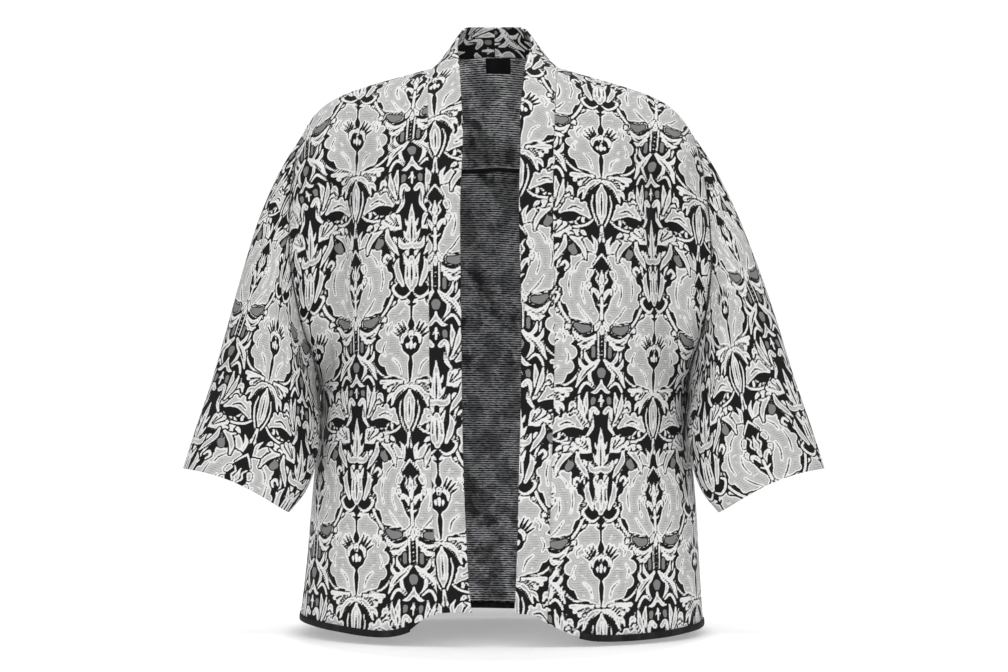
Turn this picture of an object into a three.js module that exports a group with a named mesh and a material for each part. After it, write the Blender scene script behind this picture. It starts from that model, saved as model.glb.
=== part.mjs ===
// Kimono jacket, worn and filled out: hollow, open at neck, front, cuffs and hem.
// Millimetres, +Z up, front faces -Y. The origin is the point midway between the two neck points of the
// shoulders, where the wearer holds the garment up. "right" and "left" are the wearer's.
import * as THREE from 'three';

// ---------------------------------------------------------------- named sizes (mm)
const WALL = 1.6;            // the woven cloth, as a rigid wall
const BAND_WALL = 2.6;       // bands are folded double
const GAP = 0.3;             // between neighbouring pieces at a seam
const HALF_GAP = GAP / 2 + 0.03;
const SLEEVE_GAP = 1.7;      // the sleeve stands off the armhole a little more, where the walls meet at an angle
const BAND_GAP = 0.5;
const HEM_Z = -725;          // hem at the sides and back
const BINDING_LAP = 6.5;     // how far the hem binding laps up the cloth
const BINDING_WALL = 1.2;
const BINDING_FALL = 2.2;    // binding below the hem edge
const LABEL = { width: 33, wall: 0.8, shift: 4, from: 0.03, to: 1.12 };
const CUFF_DEPTH = 48;       // half depth of a cuff

// Body sections, from the shoulder seam down to the hem. along: distance down the middle of the panel;
// zIn, zOut: heights at the inner and the outer end of the section; xOut: half width at the armhole, then at the
// side seam; wide, deep: half width and depth of the rounded outline the section follows; square: its exponent;
// valley: how deep the cloth falls in between chest and arm.
const FRONT = [
  { along: 0, zIn: -8, zOut: -85, xOut: 245, wide: 257, deep: 0, square: 1.7, valley: 0 },
  { along: 16, zIn: -10, zOut: -90, xOut: 250, wide: 268, deep: 19, square: 1.7, valley: 0 },
  { along: 36, zIn: -15, zOut: -102, xOut: 255, wide: 280, deep: 40, square: 1.7, valley: 1 },
  { along: 62, zIn: -26, zOut: -122, xOut: 260, wide: 294, deep: 64, square: 1.7, valley: 3 },
  { along: 92, zIn: -45, zOut: -148, xOut: 264, wide: 306, deep: 88, square: 1.7, valley: 8 },
  { along: 128, zIn: -72, zOut: -179, xOut: 267, wide: 315, deep: 109, square: 1.7, valley: 14 },
  { along: 168, zIn: -107, zOut: -211, xOut: 268, wide: 320, deep: 126, square: 1.7, valley: 20 },
  { along: 214, zIn: -150, zOut: -245, xOut: 268, wide: 323, deep: 138, square: 1.75, valley: 24 },
  { along: 264, zIn: -200, zOut: -279, xOut: 266, wide: 316, deep: 146, square: 1.8, valley: 26 },
  { along: 318, zIn: -258, zOut: -315, xOut: 261, wide: 299, deep: 150, square: 1.9, valley: 24 },
  { along: 372, zIn: -318, zOut: -352, xOut: 254, wide: 274, deep: 149, square: 2.0, valley: 18 },
  { along: 424, zIn: -378, zOut: -388, xOut: 244, wide: 251, deep: 146, square: 2.05, valley: 11 },
  { along: 470, zIn: -428, zOut: -428, xOut: 239, wide: 239, deep: 143, square: 2.05, valley: 5 },
  { along: 526, zIn: -487, zOut: -487, xOut: 243, wide: 243, deep: 140, square: 2.05, valley: 2 },
  { along: 582, zIn: -546, zOut: -546, xOut: 249, wide: 249, deep: 139, square: 2.1, valley: 0 },
  { along: 640, zIn: -606, zOut: -606, xOut: 253, wide: 253, deep: 139, square: 2.2, valley: 0 },
  { along: 700, zIn: -666, zOut: -666, xOut: 257, wide: 257, deep: 141, square: 2.2, valley: 0 },
  { along: 759, zIn: -725, zOut: -725, xOut: 262, wide: 262, deep: 143, square: 2.2, valley: 0 },
];
// The back below the yoke seam; along runs on from the yoke's length.
const BACK = [
  { along: 150, zIn: -128, zOut: -160, xOut: 265, wide: 303, deep: 108, square: 1.75, valley: 8 },
  { along: 186, zIn: -166, zOut: -196, xOut: 267.5, wide: 313, deep: 116, square: 1.75, valley: 12 },
  { along: 226, zIn: -208, zOut: -232, xOut: 268, wide: 314, deep: 119, square: 1.8, valley: 14 },
  { along: 268, zIn: -252, zOut: -270, xOut: 266.5, wide: 305, deep: 118, square: 1.9, valley: 14 },
  { along: 318, zIn: -302, zOut: -315, xOut: 261, wide: 288, deep: 115, square: 2.0, valley: 11 },
  { along: 370, zIn: -345, zOut: -352, xOut: 254, wide: 268, deep: 112, square: 2.1, valley: 8 },
  { along: 420, zIn: -386, zOut: -388, xOut: 244, wide: 249, deep: 111, square: 2.2, valley: 4 },
  { along: 462, zIn: -428, zOut: -428, xOut: 239, wide: 239, deep: 112, square: 2.25, valley: 2 },
  { along: 520, zIn: -487, zOut: -487, xOut: 243, wide: 243, deep: 117, square: 2.25, valley: 0 },
  { along: 580, zIn: -546, zOut: -546, xOut: 249, wide: 249, deep: 124, square: 2.25, valley: 0 },
  { along: 640, zIn: -606, zOut: -606, xOut: 253, wide: 253, deep: 130, square: 2.2, valley: 0 },
  { along: 700, zIn: -666, zOut: -666, xOut: 257, wide: 257, deep: 135, square: 2.2, valley: 0 },
  { along: 759, zIn: -725, zOut: -725, xOut: 262, wide: 262, deep: 138, square: 2.2, valley: 0 },
];
// Where the side seam sits front to back, the sideways lean of the garment, and the front edges.
const SIDE_Y = [
  { z: -85, y: 0 }, { z: -300, y: 4 }, { z: -428, y: 14 }, { z: -487, y: 24 }, { z: -546, y: 24 }, { z: -606, y: 17 },
  { z: -725, y: 7 },
];
const SWAY = [
  { z: 60, x: -5 }, { z: -30, x: -3 }, { z: -100, x: -0.5 }, { z: -200, x: 1.5 }, { z: -350, x: 6.5 }, { z: -600, x: 7.5 },
  { z: -725, x: 5 },
];
// Half distance of each band's free edge and of its seam from the middle, by height.
const OPENING = {
  right: [
    { z: -110, free: 43, seam: 86 }, { z: -200, free: 48, seam: 88 }, { z: -400, free: 52, seam: 92 },
    { z: -560, free: 49, seam: 89 }, { z: -725, free: 38, seam: 78 },
  ],
  left: [
    { z: -110, free: 29, seam: 70 }, { z: -200, free: 25, seam: 67 }, { z: -400, free: 22, seam: 63 },
    { z: -560, free: 18, seam: 58 }, { z: -725, free: 15, seam: 56 },
  ],
};
// The hem of each front, by distance from the middle: plain and higher by the opening, lower at the bound part.
const HEM = {
  right: [
    { x: 30, z: -698 }, { x: 76, z: -700 }, { x: 100, z: -710 }, { x: 116, z: -723.5 }, { x: 150, z: -731.5 },
    { x: 210, z: -729 }, { x: 262, z: -725 },
  ],
  left: [
    { x: 10, z: -698 }, { x: 40, z: -701 }, { x: 58, z: -711 }, { x: 88, z: -724.5 }, { x: 120, z: -731 },
    { x: 190, z: -730.5 }, { x: 262, z: -725 },
  ],
};
const HEM_TILT = 0.016;      // the hem hangs a little lower on the wearer's left
// The neck line, from the front of the chest over the shoulder to the middle of the back: seam edge and free edge.
const NECK = [
  { back: -132, seamX: 84, seamZ: -112, freeX: 42, freeY: -134, freeZ: -112 },
  { back: -104, seamX: 85, seamZ: -68, freeX: 43, freeY: -110, freeZ: -64 },
  { back: -58, seamX: 84, seamZ: -25, freeX: 46, freeY: -64, freeZ: -9 },
  { back: -4, seamX: 80, seamZ: -8, freeX: 50, freeY: -10, freeZ: 23 },
  { back: 34, seamX: 70, seamZ: 3, freeX: 45.5, freeY: 28, freeZ: 43 },
  { back: 66, seamX: 49, seamZ: 12.5, freeX: 36, freeY: 61, freeZ: 54 },
  { back: 82, seamX: 25, seamZ: 16.5, freeX: 18, freeY: 76, freeZ: 56.5 },
  { back: 86, seamX: 0, seamZ: 17, freeX: 0, freeY: 80, freeZ: 56.5 },
];
// The outer and the inner line of the sleeve tube, and its half depth: t runs from armhole to cuff.
const SLEEVE = [
  { t: 0, outX: 245, outZ: -85, inX: 239, inZ: -428, y: 4, depth: 64 },
  { t: 0.12, outX: 274, outZ: -133, inX: 239.5, inZ: -448, y: -13, depth: 64 },
  { t: 0.25, outX: 301, outZ: -192, inX: 236, inZ: -468, y: -29, depth: 62 },
  { t: 0.4, outX: 327, outZ: -265, inX: 236, inZ: -491, y: -38, depth: 60 },
  { t: 0.55, outX: 350, outZ: -338, inX: 240, inZ: -515, y: -42, depth: 57 },
  { t: 0.7, outX: 372, outZ: -410, inX: 246, inZ: -538, y: -42, depth: 54 },
  { t: 0.85, outX: 393, outZ: -470, inX: 257, inZ: -560, y: -40, depth: 51 },
  { t: 1, outX: 411, outZ: -525, inX: 275, inZ: -582, y: -37, depth: CUFF_DEPTH },
];
const CUFF_LIFT = 14;        // the cuff rides up between its outer and its inner end

// ---------------------------------------------------------------- helpers
const V = (x, y, z) => new THREE.Vector3(x, y, z);
const lerp = (a, b, t) => a + (b - a) * t;
const clamp01 = (t) => Math.min(1, Math.max(0, t));

// Smooth value of one named column of a table, between its rows.
function column(table, key, name, at) {
  const n = table.length;
  const k = table.map((row) => row[key]);
  const up = k[n - 1] > k[0] ? 1 : -1;
  let i = 0;
  while (i < n - 2 && (at - k[i + 1]) * up > 0) i += 1;
  const slope = (j) => {
    const a = Math.max(0, j - 1);
    const b = Math.min(n - 1, j + 1);
    return (table[b][name] - table[a][name]) / (k[b] - k[a]);
  };
  const h = k[i + 1] - k[i];
  const t = clamp01((at - k[i]) / h);
  const t2 = t * t;
  const t3 = t2 * t;
  return (2 * t3 - 3 * t2 + 1) * table[i][name] + (t3 - 2 * t2 + t) * h * slope(i)
    + (3 * t2 - 2 * t3) * table[i + 1][name] + (t3 - t2) * h * slope(i + 1);
}
const sway = (z) => column(SWAY, 'z', 'x', z);

// One point of a body section. face is -1 for the front and 1 for the back; across runs 0 to 1 from xIn to xOut.
function sectionPoint(table, along, across, xIn, face) {
  const get = (name) => column(table, 'along', name, along);
  const xOut = get('xOut');
  const wide = Math.max(get('wide'), xOut);
  const deep = Math.max(0, get('deep'));
  const e = get('square');
  const angle = (x) => Math.asin(Math.pow(clamp01(x / wide), e / 2));
  const a = lerp(angle(xIn), angle(xOut), across);
  const x = wide * Math.pow(Math.sin(a), 2 / e);
  const share = clamp01((x - xIn) / (xOut - xIn));
  const fall = 0.58 * share + 0.42 * Math.pow(share, 8);
  const z = lerp(get('zIn'), get('zOut'), fall);
  const valleyX = lerp(200, 206, clamp01((-z - 150) / 250));
  const edge = Math.min(1, (1 - share) / 0.12);
  const dip = get('valley') * Math.exp(-Math.pow((x - valleyX) / 19, 2)) * edge;
  const depth = deep * Math.pow(Math.max(0, Math.cos(a)), 2 / e);
  const y = column(SIDE_Y, 'z', 'y', z) * (1 - Math.pow(Math.max(0, Math.cos(a)), 2)) * (deep > 0 ? 1 : 0);
  return V(x, y + face * Math.max(0, depth - dip), z);
}

// A closed wall from a grid of points. Rows run along j, columns along i; the outer face is the grid itself and
// the inner face lies `wall` behind it, along the grid's own normals.
function gridNormals(grid, ring) {
  const rows = grid.length;
  const cols = grid[0].length;
  return grid.map((row, j) => row.map((p, i) => {
    const left = ring ? grid[j][(i - 1 + cols) % cols] : grid[j][Math.max(0, i - 1)];
    const right = ring ? grid[j][(i + 1) % cols] : grid[j][Math.min(cols - 1, i + 1)];
    const above = grid[Math.max(0, j - 1)][i];
    const below = grid[Math.min(rows - 1, j + 1)][i];
    const n = right.clone().sub(left).cross(below.clone().sub(above));
    return n.lengthSq() > 1e-9 ? n.normalize() : V(0, 0, 0);
  }));
}
function wallGeometry(grid, normals, wall, ring = false, lift = 0) {
  const rows = grid.length;
  const cols = grid[0].length;
  const outer = grid.map((row, j) => row.map((p, i) => p.clone().addScaledVector(normals[j][i], lift)));
  const inner = grid.map((row, j) => row.map((p, i) => p.clone().addScaledVector(normals[j][i], lift - wall)));
  const position = [];
  const index = [];
  for (const layer of [outer, inner]) for (const row of layer) for (const p of row) position.push(p.x, p.y, p.z);
  const id = (layer, j, i) => layer * rows * cols + j * cols + ((i + cols) % cols);
  const quad = (a, b, c, d) => { index.push(a, b, c, a, c, d); };
  const cells = ring ? cols : cols - 1;
  for (let j = 0; j < rows - 1; j += 1) {
    for (let i = 0; i < cells; i += 1) {
      quad(id(0, j, i), id(0, j, i + 1), id(0, j + 1, i + 1), id(0, j + 1, i));
      quad(id(1, j, i), id(1, j + 1, i), id(1, j + 1, i + 1), id(1, j, i + 1));
    }
    if (!ring) {
      quad(id(0, j, 0), id(0, j + 1, 0), id(1, j + 1, 0), id(1, j, 0));
      quad(id(0, j + 1, cols - 1), id(0, j, cols - 1), id(1, j, cols - 1), id(1, j + 1, cols - 1));
    }
  }
  for (let i = 0; i < cells; i += 1) {
    quad(id(0, 0, i + 1), id(0, 0, i), id(1, 0, i), id(1, 0, i + 1));
    quad(id(0, rows - 1, i), id(0, rows - 1, i + 1), id(1, rows - 1, i + 1), id(1, rows - 1, i));
  }
  const geometry = new THREE.BufferGeometry();
  geometry.setAttribute('position', new THREE.Float32BufferAttribute(position, 3));
  geometry.setIndex(index);
  geometry.computeVertexNormals();
  return geometry;
}
// Moves the rim of a grid inwards along the cloth, so that neighbours stay GAP apart at a seam.
function trim(grid, { start = 0, end = 0, top = 0, bottom = 0 }) {
  const rows = grid.length;
  const cols = grid[0].length;
  const out = grid.map((row) => row.map((p) => p.clone()));
  const step = (from, to, by) => {
    const d = to.clone().sub(from);
    return d.lengthSq() > 1e-9 ? d.normalize().multiplyScalar(by) : V(0, 0, 0);
  };
  for (let j = 0; j < rows; j += 1) {
    if (start) out[j][0].add(step(grid[j][0], grid[j][1], start));
    if (end) out[j][cols - 1].add(step(grid[j][cols - 1], grid[j][cols - 2], end));
  }
  for (let i = 0; i < cols; i += 1) {
    if (top) out[0][i].add(step(grid[0][i], grid[1][i], top));
    if (bottom) out[rows - 1][i].add(step(grid[rows - 1][i], grid[rows - 2][i], bottom));
  }
  return out;
}
const mirror = (grid) => grid.map((row) => row.map((p) => V(-p.x, p.y, p.z)));
const tilt = (p) => -HEM_TILT * p.x * clamp01((-p.z - 430) / 290);
const lean = (grid, hem = 1) => grid.map((row) => row.map((p) => V(p.x + sway(p.z), p.y, p.z + hem * tilt(p))));
const turned = (grid) => grid.map((row) => [...row].reverse());

// ---------------------------------------------------------------- the pieces as grids (left side of the wearer is +X)
const ACROSS_FRONT = [0, 0.14, 0.28, 0.42, 0.54, 0.64, 0.72, 0.79, 0.86, 0.93, 1];
const NECK_COLS = 4; // columns of the yoke that start on the neck seam; the rest start on the shoulder seam
const UNDERARM = FRONT.findIndex((row) => row.xOut === row.wide && row.deep > 0);
const BACK_UNDERARM = BACK.findIndex((row) => row.xOut === row.wide);

// The hem: the lowest section moves up to the hem line of its side.
function hemHeight(side, x) {
  const table = HEM[side];
  return column(table, 'x', 'z', Math.min(Math.max(x, table[0].x), table[table.length - 1].x));
}
function onFront(side, along, across, xIn) {
  const p = sectionPoint(FRONT, along, across, xIn, -1);
  const last = FRONT[FRONT.length - 2].along;
  const k = clamp01((along - last) / (FRONT[FRONT.length - 1].along - last));
  p.z += k * (hemHeight(side, p.x) - HEM_Z);
  return p;
}
// Half distance of a band's seam or free edge from the middle, for a section of the front.
function edgeX(side, name, along) {
  const z = column(FRONT, 'along', 'zIn', along);
  if (z > -110) return null;
  return column(OPENING[side], 'z', name, z);
}
function neckSeam(back) { // the seam line of the neck over the shoulder, by its distance back
  return V(column(NECK, 'back', 'seamX', back), back, column(NECK, 'back', 'seamZ', back));
}
function frontSeamPoint(side, along) {
  const x = edgeX(side, 'seam', along);
  if (x !== null) return onFront(side, along, 0, x);
  const y = -Math.max(0, column(FRONT, 'along', 'deep', along)) * 0.93;
  const p = neckSeam(Math.min(-4, y));
  const meet = OPENING[side][0].seam - NECK[0].seamX;
  p.x += meet * clamp01((-p.y - 20) / 100);
  p.z = column(FRONT, 'along', 'zIn', along);
  return p;
}
function frontGrid(side) {
  return FRONT.map((row) => {
    const seam = frontSeamPoint(side, row.along);
    return ACROSS_FRONT.map((u) => {
      const p = onFront(side, row.along, u, Math.min(seam.x, row.xOut));
      const blend = Math.pow(1 - u, 3) * (row.zIn > -112 ? 1 : 0);
      return p.lerp(V(lerp(p.x, seam.x, blend), lerp(p.y, seam.y, blend), lerp(p.z, seam.z, blend)), 1);
    });
  });
}
// Back below the yoke, from the middle outwards. Its columns carry on those of the shoulder.
function acrossBack(shoulder) {
  const { wide, xOut, square } = BACK[0];
  const angle = (x) => Math.asin(Math.pow(clamp01(x / wide), square / 2));
  const tip = shoulder[shoulder.length - 1].x;
  const at = shoulder.map((p) => angle((p.x * xOut) / tip) / angle(xOut));
  const neck = Array.from({ length: NECK_COLS }, (_, i) => (at[0] * i) / NECK_COLS);
  return [...neck, ...at];
}
function backHalf(across) {
  return BACK.map((row) => across.map((u) => sectionPoint(BACK, row.along, u, 0, 1)));
}
// Yoke: each column falls from the neck seam or the shoulder seam to the yoke seam.
const YOKE_ROWS = [0, 0.14, 0.3, 0.48, 0.72, 1];
function yokeHalf(lower, shoulder) {
  const tops = lower.map((foot, i) => (i < NECK_COLS
    ? neckSeam(lerp(86, shoulder[0].y, Math.pow(i / NECK_COLS, 1.7)))
    : shoulder[i - NECK_COLS].clone()));
  return YOKE_ROWS.map((t) => lower.map((foot, i) => {
    const head = tops[i];
    const drop = head.z - foot.z;
    const reach = foot.y - head.y;
    const neck = clamp01(1 - i / NECK_COLS);
    const t2 = t * t;
    const t3 = t2 * t;
    const start = V((foot.x - head.x) * 0.6, lerp(reach * 1.9, reach * 1.4 + 10, neck), lerp(-drop * 0.35, -drop * 0.9, neck));
    const finish = V((foot.x - head.x) * 0.6, reach * 0.1, -drop * 1.1);
    return head.clone().multiplyScalar(2 * t3 - 3 * t2 + 1).addScaledVector(start, t3 - 2 * t2 + t)
      .addScaledVector(foot, 3 * t2 - 2 * t3).addScaledVector(finish, t3 - t2);
  }));
}

const frontLeft = frontGrid('left');
const frontRight = frontGrid('right');
const backLeft = backHalf(acrossBack(frontLeft[0]));
const backRight = backHalf(acrossBack(frontRight[0]));
const yokeLeft = yokeHalf(backLeft[0], frontLeft[0]);
const yokeRight = yokeHalf(backRight[0], frontRight[0]);

// Sleeve: a tube from the armhole ring to the cuff ring. The ring starts at the shoulder tip, goes down the front
// to the underarm and up the back.
function armholeRing(front, yoke, back) {
  const ring = [];
  for (let j = 0; j <= UNDERARM; j += 1) ring.push(front[j][ACROSS_FRONT.length - 1].clone());
  for (let j = BACK_UNDERARM - 1; j >= 0; j -= 1) ring.push(back[j][back[j].length - 1].clone());
  for (let j = YOKE_ROWS.length - 2; j >= 1; j -= 1) ring.push(yoke[j][yoke[j].length - 1].clone());
  return ring;
}
const SLEEVE_ROWS = [0, 0.06, 0.14, 0.25, 0.38, 0.52, 0.66, 0.8, 0.9, 1];
function tubePoint(t, angle) {
  const get = (name) => column(SLEEVE, 't', name, t);
  const out = V(get('outX'), get('y'), get('outZ'));
  const inn = V(get('inX'), get('y'), get('inZ'));
  const mid = out.clone().add(inn).multiplyScalar(0.5);
  return mid.addScaledVector(out.sub(inn).multiplyScalar(0.5), Math.cos(angle))
    .add(V(0, -Math.sin(angle) * get('depth'), Math.sin(angle) ** 2 * CUFF_LIFT * t * t));
}
function sleeveGrid(front, yoke, back) {
  const ring = armholeRing(front, yoke, back);
  const n = ring.length;
  // angle of each ring point round the tube: by length along the front half and along the back half
  const angles = [];
  const half = (from, to, start) => {
    let total = 0;
    const sums = [0];
    for (let k = from; k < to; k += 1) { total += ring[k].distanceTo(ring[(k + 1) % n]); sums.push(total); }
    for (let k = from; k < to; k += 1) angles[k] = start + Math.PI * (sums[k - from] / total);
  };
  half(0, UNDERARM, 0);
  half(UNDERARM, n, Math.PI);
  return SLEEVE_ROWS.map((t) => ring.map((p, k) => {
    const base = tubePoint(t, angles[k]);
    const shift = p.clone().sub(tubePoint(0, angles[k]));
    return base.addScaledVector(shift, Math.pow(1 - t, 2.2));
  }));
}
const sleeveLeft = sleeveGrid(frontLeft, yokeLeft, backLeft);

// Bands: one strip a side, from the hem up the front edge, over the shoulder and round to the middle of the back.
function bandGrid(side, front, yoke) {
  const rows = [];
  for (let k = FRONT.length - 1; k >= 0; k -= 1) {
    const along = FRONT[k].along;
    const freeX = edgeX(side, 'free', along);
    const seam = front[k][0].clone();
    let free;
    if (freeX !== null) {
      free = onFront(side, along, 0, freeX);
      const middle = (f) => onFront(side, along, 0, lerp(seam.x, freeX, f));
      rows.push([seam, middle(1 / 3), middle(2 / 3), free]);
    } else {
      free = neckFree(side, seam.y);
      rows.push([seam, seam.clone().lerp(free, 1 / 3), seam.clone().lerp(free, 2 / 3), free]);
    }
  }
  for (let i = NECK_COLS - 1; i >= 0; i -= 1) {
    const seam = yoke[0][i].clone();
    const free = neckFree(side, seam.y);
    rows.push([seam, seam.clone().lerp(free, 1 / 3), seam.clone().lerp(free, 2 / 3), free]);
  }
  return rows;
}
function neckFree(side, back) {
  const get = (name) => column(NECK, 'back', name, Math.min(86, Math.max(-132, back)));
  const low = clamp01((-back - 4) / 110);
  return V(get('freeX') + low * (OPENING[side][0].free - NECK[0].freeX), get('freeY'), get('freeZ'));
}
// ---------------------------------------------------------------- assembly
const group = new THREE.Group();
const CLOTH = { color: 0xb9b8b5, roughness: 0.62, metalness: 0 };
const BLACK = { color: 0x1b1b1c, roughness: 0.7, metalness: 0 };
function add(name, geometry, look) {
  const mesh = new THREE.Mesh(geometry, new THREE.MeshStandardMaterial(look));
  mesh.name = name;
  group.add(mesh);
}
// Normals that two neighbours share along a seam.
function shareNormals(pairs) {
  for (const [na, nb] of pairs) {
    const sum = na.clone().add(nb).normalize();
    na.copy(sum);
    nb.copy(sum);
  }
}
const lastCol = (grid) => grid[0].length - 1;

// grids in place: right side is the mirror image
const grids = {
  front_left: lean(frontLeft),
  front_right: turned(lean(mirror(frontRight))),
  sleeve_left: lean(sleeveLeft, 0),
  sleeve_right: turned(lean(mirror(sleeveGrid(frontRight, yokeRight, backRight)), 0)),
  back: lean(backLeft.map((row, j) => [...[...row].reverse(), ...mirror([backRight[j]])[0].slice(1)])),
  back_yoke: lean(yokeLeft.map((row, j) => [...[...row].reverse(), ...mirror([yokeRight[j]])[0].slice(1)])),
  band_left: lean(bandGrid('left', frontLeft, yokeLeft)),
  band_right: turned(lean(mirror(bandGrid('right', frontRight, yokeRight)))),
};
const normals = {};
for (const [name, grid] of Object.entries(grids)) normals[name] = gridNormals(grid, name.startsWith('sleeve'));

// front_left: rows down, columns outwards to +X: its normal must point forward
const FLIP = {};
for (const name of Object.keys(grids)) {
  const g = grids[name];
  const n = normals[name];
  const j = Math.floor(g.length / 2);
  const i = Math.floor(g[0].length / 2);
  // which way is out: away from the vertical middle line of the piece's own hollow
  let centre = V(0, 0, g[j][i].z);
  if (name.startsWith('sleeve')) {
    centre = g[j].reduce((s, p) => s.add(p), V(0, 0, 0)).multiplyScalar(1 / g[j].length);
  }
  FLIP[name] = n[j][i].dot(g[j][i].clone().sub(centre)) < 0;
}
for (const name of Object.keys(grids)) {
  if (FLIP[name]) {
    grids[name] = turned(grids[name]);
    normals[name] = gridNormals(grids[name], name.startsWith('sleeve'));
  }
}

// seam normals shared by position: every rim point looks for its partners
const rims = [];
for (const [name, g] of Object.entries(grids)) {
  const ring = name.startsWith('sleeve');
  g.forEach((row, j) => row.forEach((p, i) => {
    if (j === 0 || j === g.length - 1 || (!ring && (i === 0 || i === row.length - 1))) rims.push({ name, p, n: normals[name][j][i] });
  }));
}
for (let a = 0; a < rims.length; a += 1) {
  const partners = rims.filter((r) => r.name !== rims[a].name && r.p.distanceTo(rims[a].p) < 0.5
    && r.n.dot(rims[a].n) > 0.35);
  rims[a].mean = partners.reduce((s, r) => s.add(r.n), rims[a].n.clone()).normalize();
}
for (const r of rims) r.n.copy(r.mean);

const TRIM = { start: HALF_GAP, end: HALF_GAP, top: HALF_GAP, bottom: HALF_GAP };
function piece(name, wall, look, sides = TRIM, lift = 0) {
  const g = trim(grids[name], name.startsWith('sleeve') ? { top: SLEEVE_GAP } : sides);
  add(name, wallGeometry(g, normals[name], wall, name.startsWith('sleeve'), lift), look);
}
piece('front_left', WALL, CLOTH);
piece('front_right', WALL, CLOTH);
piece('back_yoke', WALL, CLOTH);
piece('back', WALL, CLOTH);
piece('sleeve_left', WALL, CLOTH);
piece('sleeve_right', WALL, CLOTH);
const BAND_TRIM = { start: BAND_GAP, end: BAND_GAP, top: HALF_GAP, bottom: HALF_GAP };
piece('band_left', BAND_WALL, CLOTH, BAND_TRIM);
piece('band_right', BAND_WALL, CLOTH, BAND_TRIM);

// ---------------------------------------------------------------- hem binding: a folded strip over the hem edge
// It runs from the low part of the right front, round the back, to the low part of the left front.
function hemPath() {
  const path = [];
  const take = (name, from, to) => {
    const g = grids[name];
    const n = normals[name];
    const j = g.length - 1;
    const by = from < to ? 1 : -1;
    for (let i = from; i !== to + by; i += by) {
      path.push({ p: g[j][i].clone(), up: g[j - 1][i].clone().sub(g[j][i]).normalize(), n: n[j][i].clone() });
    }
  };
  const cols = { fr: lastCol(grids.front_right), fl: lastCol(grids.front_left), bk: lastCol(grids.back) };
  const inner = (name) => (Math.abs(grids[name][0][0].x) < Math.abs(grids[name][0][lastCol(grids[name])].x) ? 0 : lastCol(grids[name]));
  const fr = inner('front_right');
  const fl = inner('front_left');
  take('front_right', fr === 0 ? 1 : cols.fr - 1, fr === 0 ? cols.fr : 0);
  const bkStart = grids.back[0][0].x < 0 ? 0 : cols.bk;
  take('back', bkStart, cols.bk - bkStart);
  take('front_left', fl === 0 ? cols.fl : 0, fl === 0 ? 1 : cols.fl - 1);
  return path;
}
function bindingGeometry(path) {
  const clean = path.filter((s, k) => k === 0 || s.p.distanceTo(path[k - 1].p) > 0.5);
  const out = BINDING_WALL + GAP;
  const position = [];
  const index = [];
  for (const { p, up, n } of clean) {
    const at = (side, high) => p.clone().addScaledVector(n, side).addScaledVector(up, high);
    const back = -(WALL + GAP);
    const section = [
      at(out, BINDING_LAP), at(out, -BINDING_FALL), at(-(WALL + out), -BINDING_FALL), at(-(WALL + out), BINDING_LAP),
      at(back, BINDING_LAP), at(back, -GAP), at(GAP, -GAP), at(GAP, BINDING_LAP),
    ];
    for (const q of section) position.push(q.x, q.y, q.z);
  }
  const S = 8;
  const last = (clean.length - 1) * S;
  for (let k = 0; k < clean.length - 1; k += 1) {
    for (let m = 0; m < S; m += 1) {
      const a = k * S + m;
      const b = k * S + ((m + 1) % S);
      index.push(a, b + S, b, a, a + S, b + S);
    }
  }
  for (const [a, b, c, d] of [[0, 1, 6, 7], [1, 2, 5, 6], [2, 3, 4, 5]]) {
    index.push(a, b, c, a, c, d);
    index.push(last + a, last + c, last + b, last + a, last + d, last + c);
  }
  const geometry = new THREE.BufferGeometry();
  geometry.setAttribute('position', new THREE.Float32BufferAttribute(position, 3));
  geometry.setIndex(index);
  geometry.computeVertexNormals();
  return geometry;
}
add('hem_binding', bindingGeometry(hemPath()), BLACK);

// ---------------------------------------------------------------- label: a bare black tab inside the yoke, at the neck
{
  const g = grids.back_yoke;
  const n = normals.back_yoke;
  const mid = Math.round(lastCol(g) / 2);
  const at = (j, i) => g[j][i].clone().addScaledVector(n[j][i], -(WALL + 2 * GAP));
  const rows = [LABEL.from, LABEL.to].map((t) => [-1, 0, 1].map((c) => {
    const down = (i) => (t < 1 ? at(0, i).lerp(at(1, i), t) : at(1, i).lerp(at(2, i), t - 1));
    const reach = c * LABEL.width / 2 + LABEL.shift;
    const centre = down(mid);
    const beside = down(mid + Math.sign(reach));
    return centre.clone().lerp(beside, Math.abs(reach) / centre.distanceTo(beside));
  }));
  const nn = gridNormals(rows, false);
  const sign = nn[0][1].dot(n[0][mid]) < 0 ? -1 : 1;
  const use = sign < 0 ? rows.map((r) => [...r].reverse()) : rows;
  add('label', wallGeometry(use, gridNormals(use, false), LABEL.wall), BLACK);
}

export default group;
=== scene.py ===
import math

import bpy
import numpy as np
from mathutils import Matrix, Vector


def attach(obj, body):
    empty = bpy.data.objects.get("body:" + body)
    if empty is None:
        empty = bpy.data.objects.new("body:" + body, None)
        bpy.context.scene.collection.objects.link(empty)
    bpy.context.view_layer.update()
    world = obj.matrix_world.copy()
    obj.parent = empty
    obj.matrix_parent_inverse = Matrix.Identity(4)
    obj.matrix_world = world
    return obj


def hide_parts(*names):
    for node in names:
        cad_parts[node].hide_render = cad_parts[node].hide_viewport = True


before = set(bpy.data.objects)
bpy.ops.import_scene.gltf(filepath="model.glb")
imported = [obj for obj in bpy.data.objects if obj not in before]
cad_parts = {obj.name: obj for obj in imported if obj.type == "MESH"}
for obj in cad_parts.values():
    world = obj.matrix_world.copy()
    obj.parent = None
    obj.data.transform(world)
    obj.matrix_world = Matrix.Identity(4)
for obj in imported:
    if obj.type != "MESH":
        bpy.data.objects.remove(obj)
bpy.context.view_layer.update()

# ------------------------------------------------------------------ named sizes
WALL = 1.6                   # cloth
BAND_WALL = 2.6              # the bands are folded double
HEM_Z = -725.0
HEM_TILT = 0.016
CUFF_LIFT = 14.0
BINDING_LAP, BINDING_FALL, BINDING_WALL = 6.5, 2.2, 1.2
SPACING = 2.15   # of the points on the right side of the cloth
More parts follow.
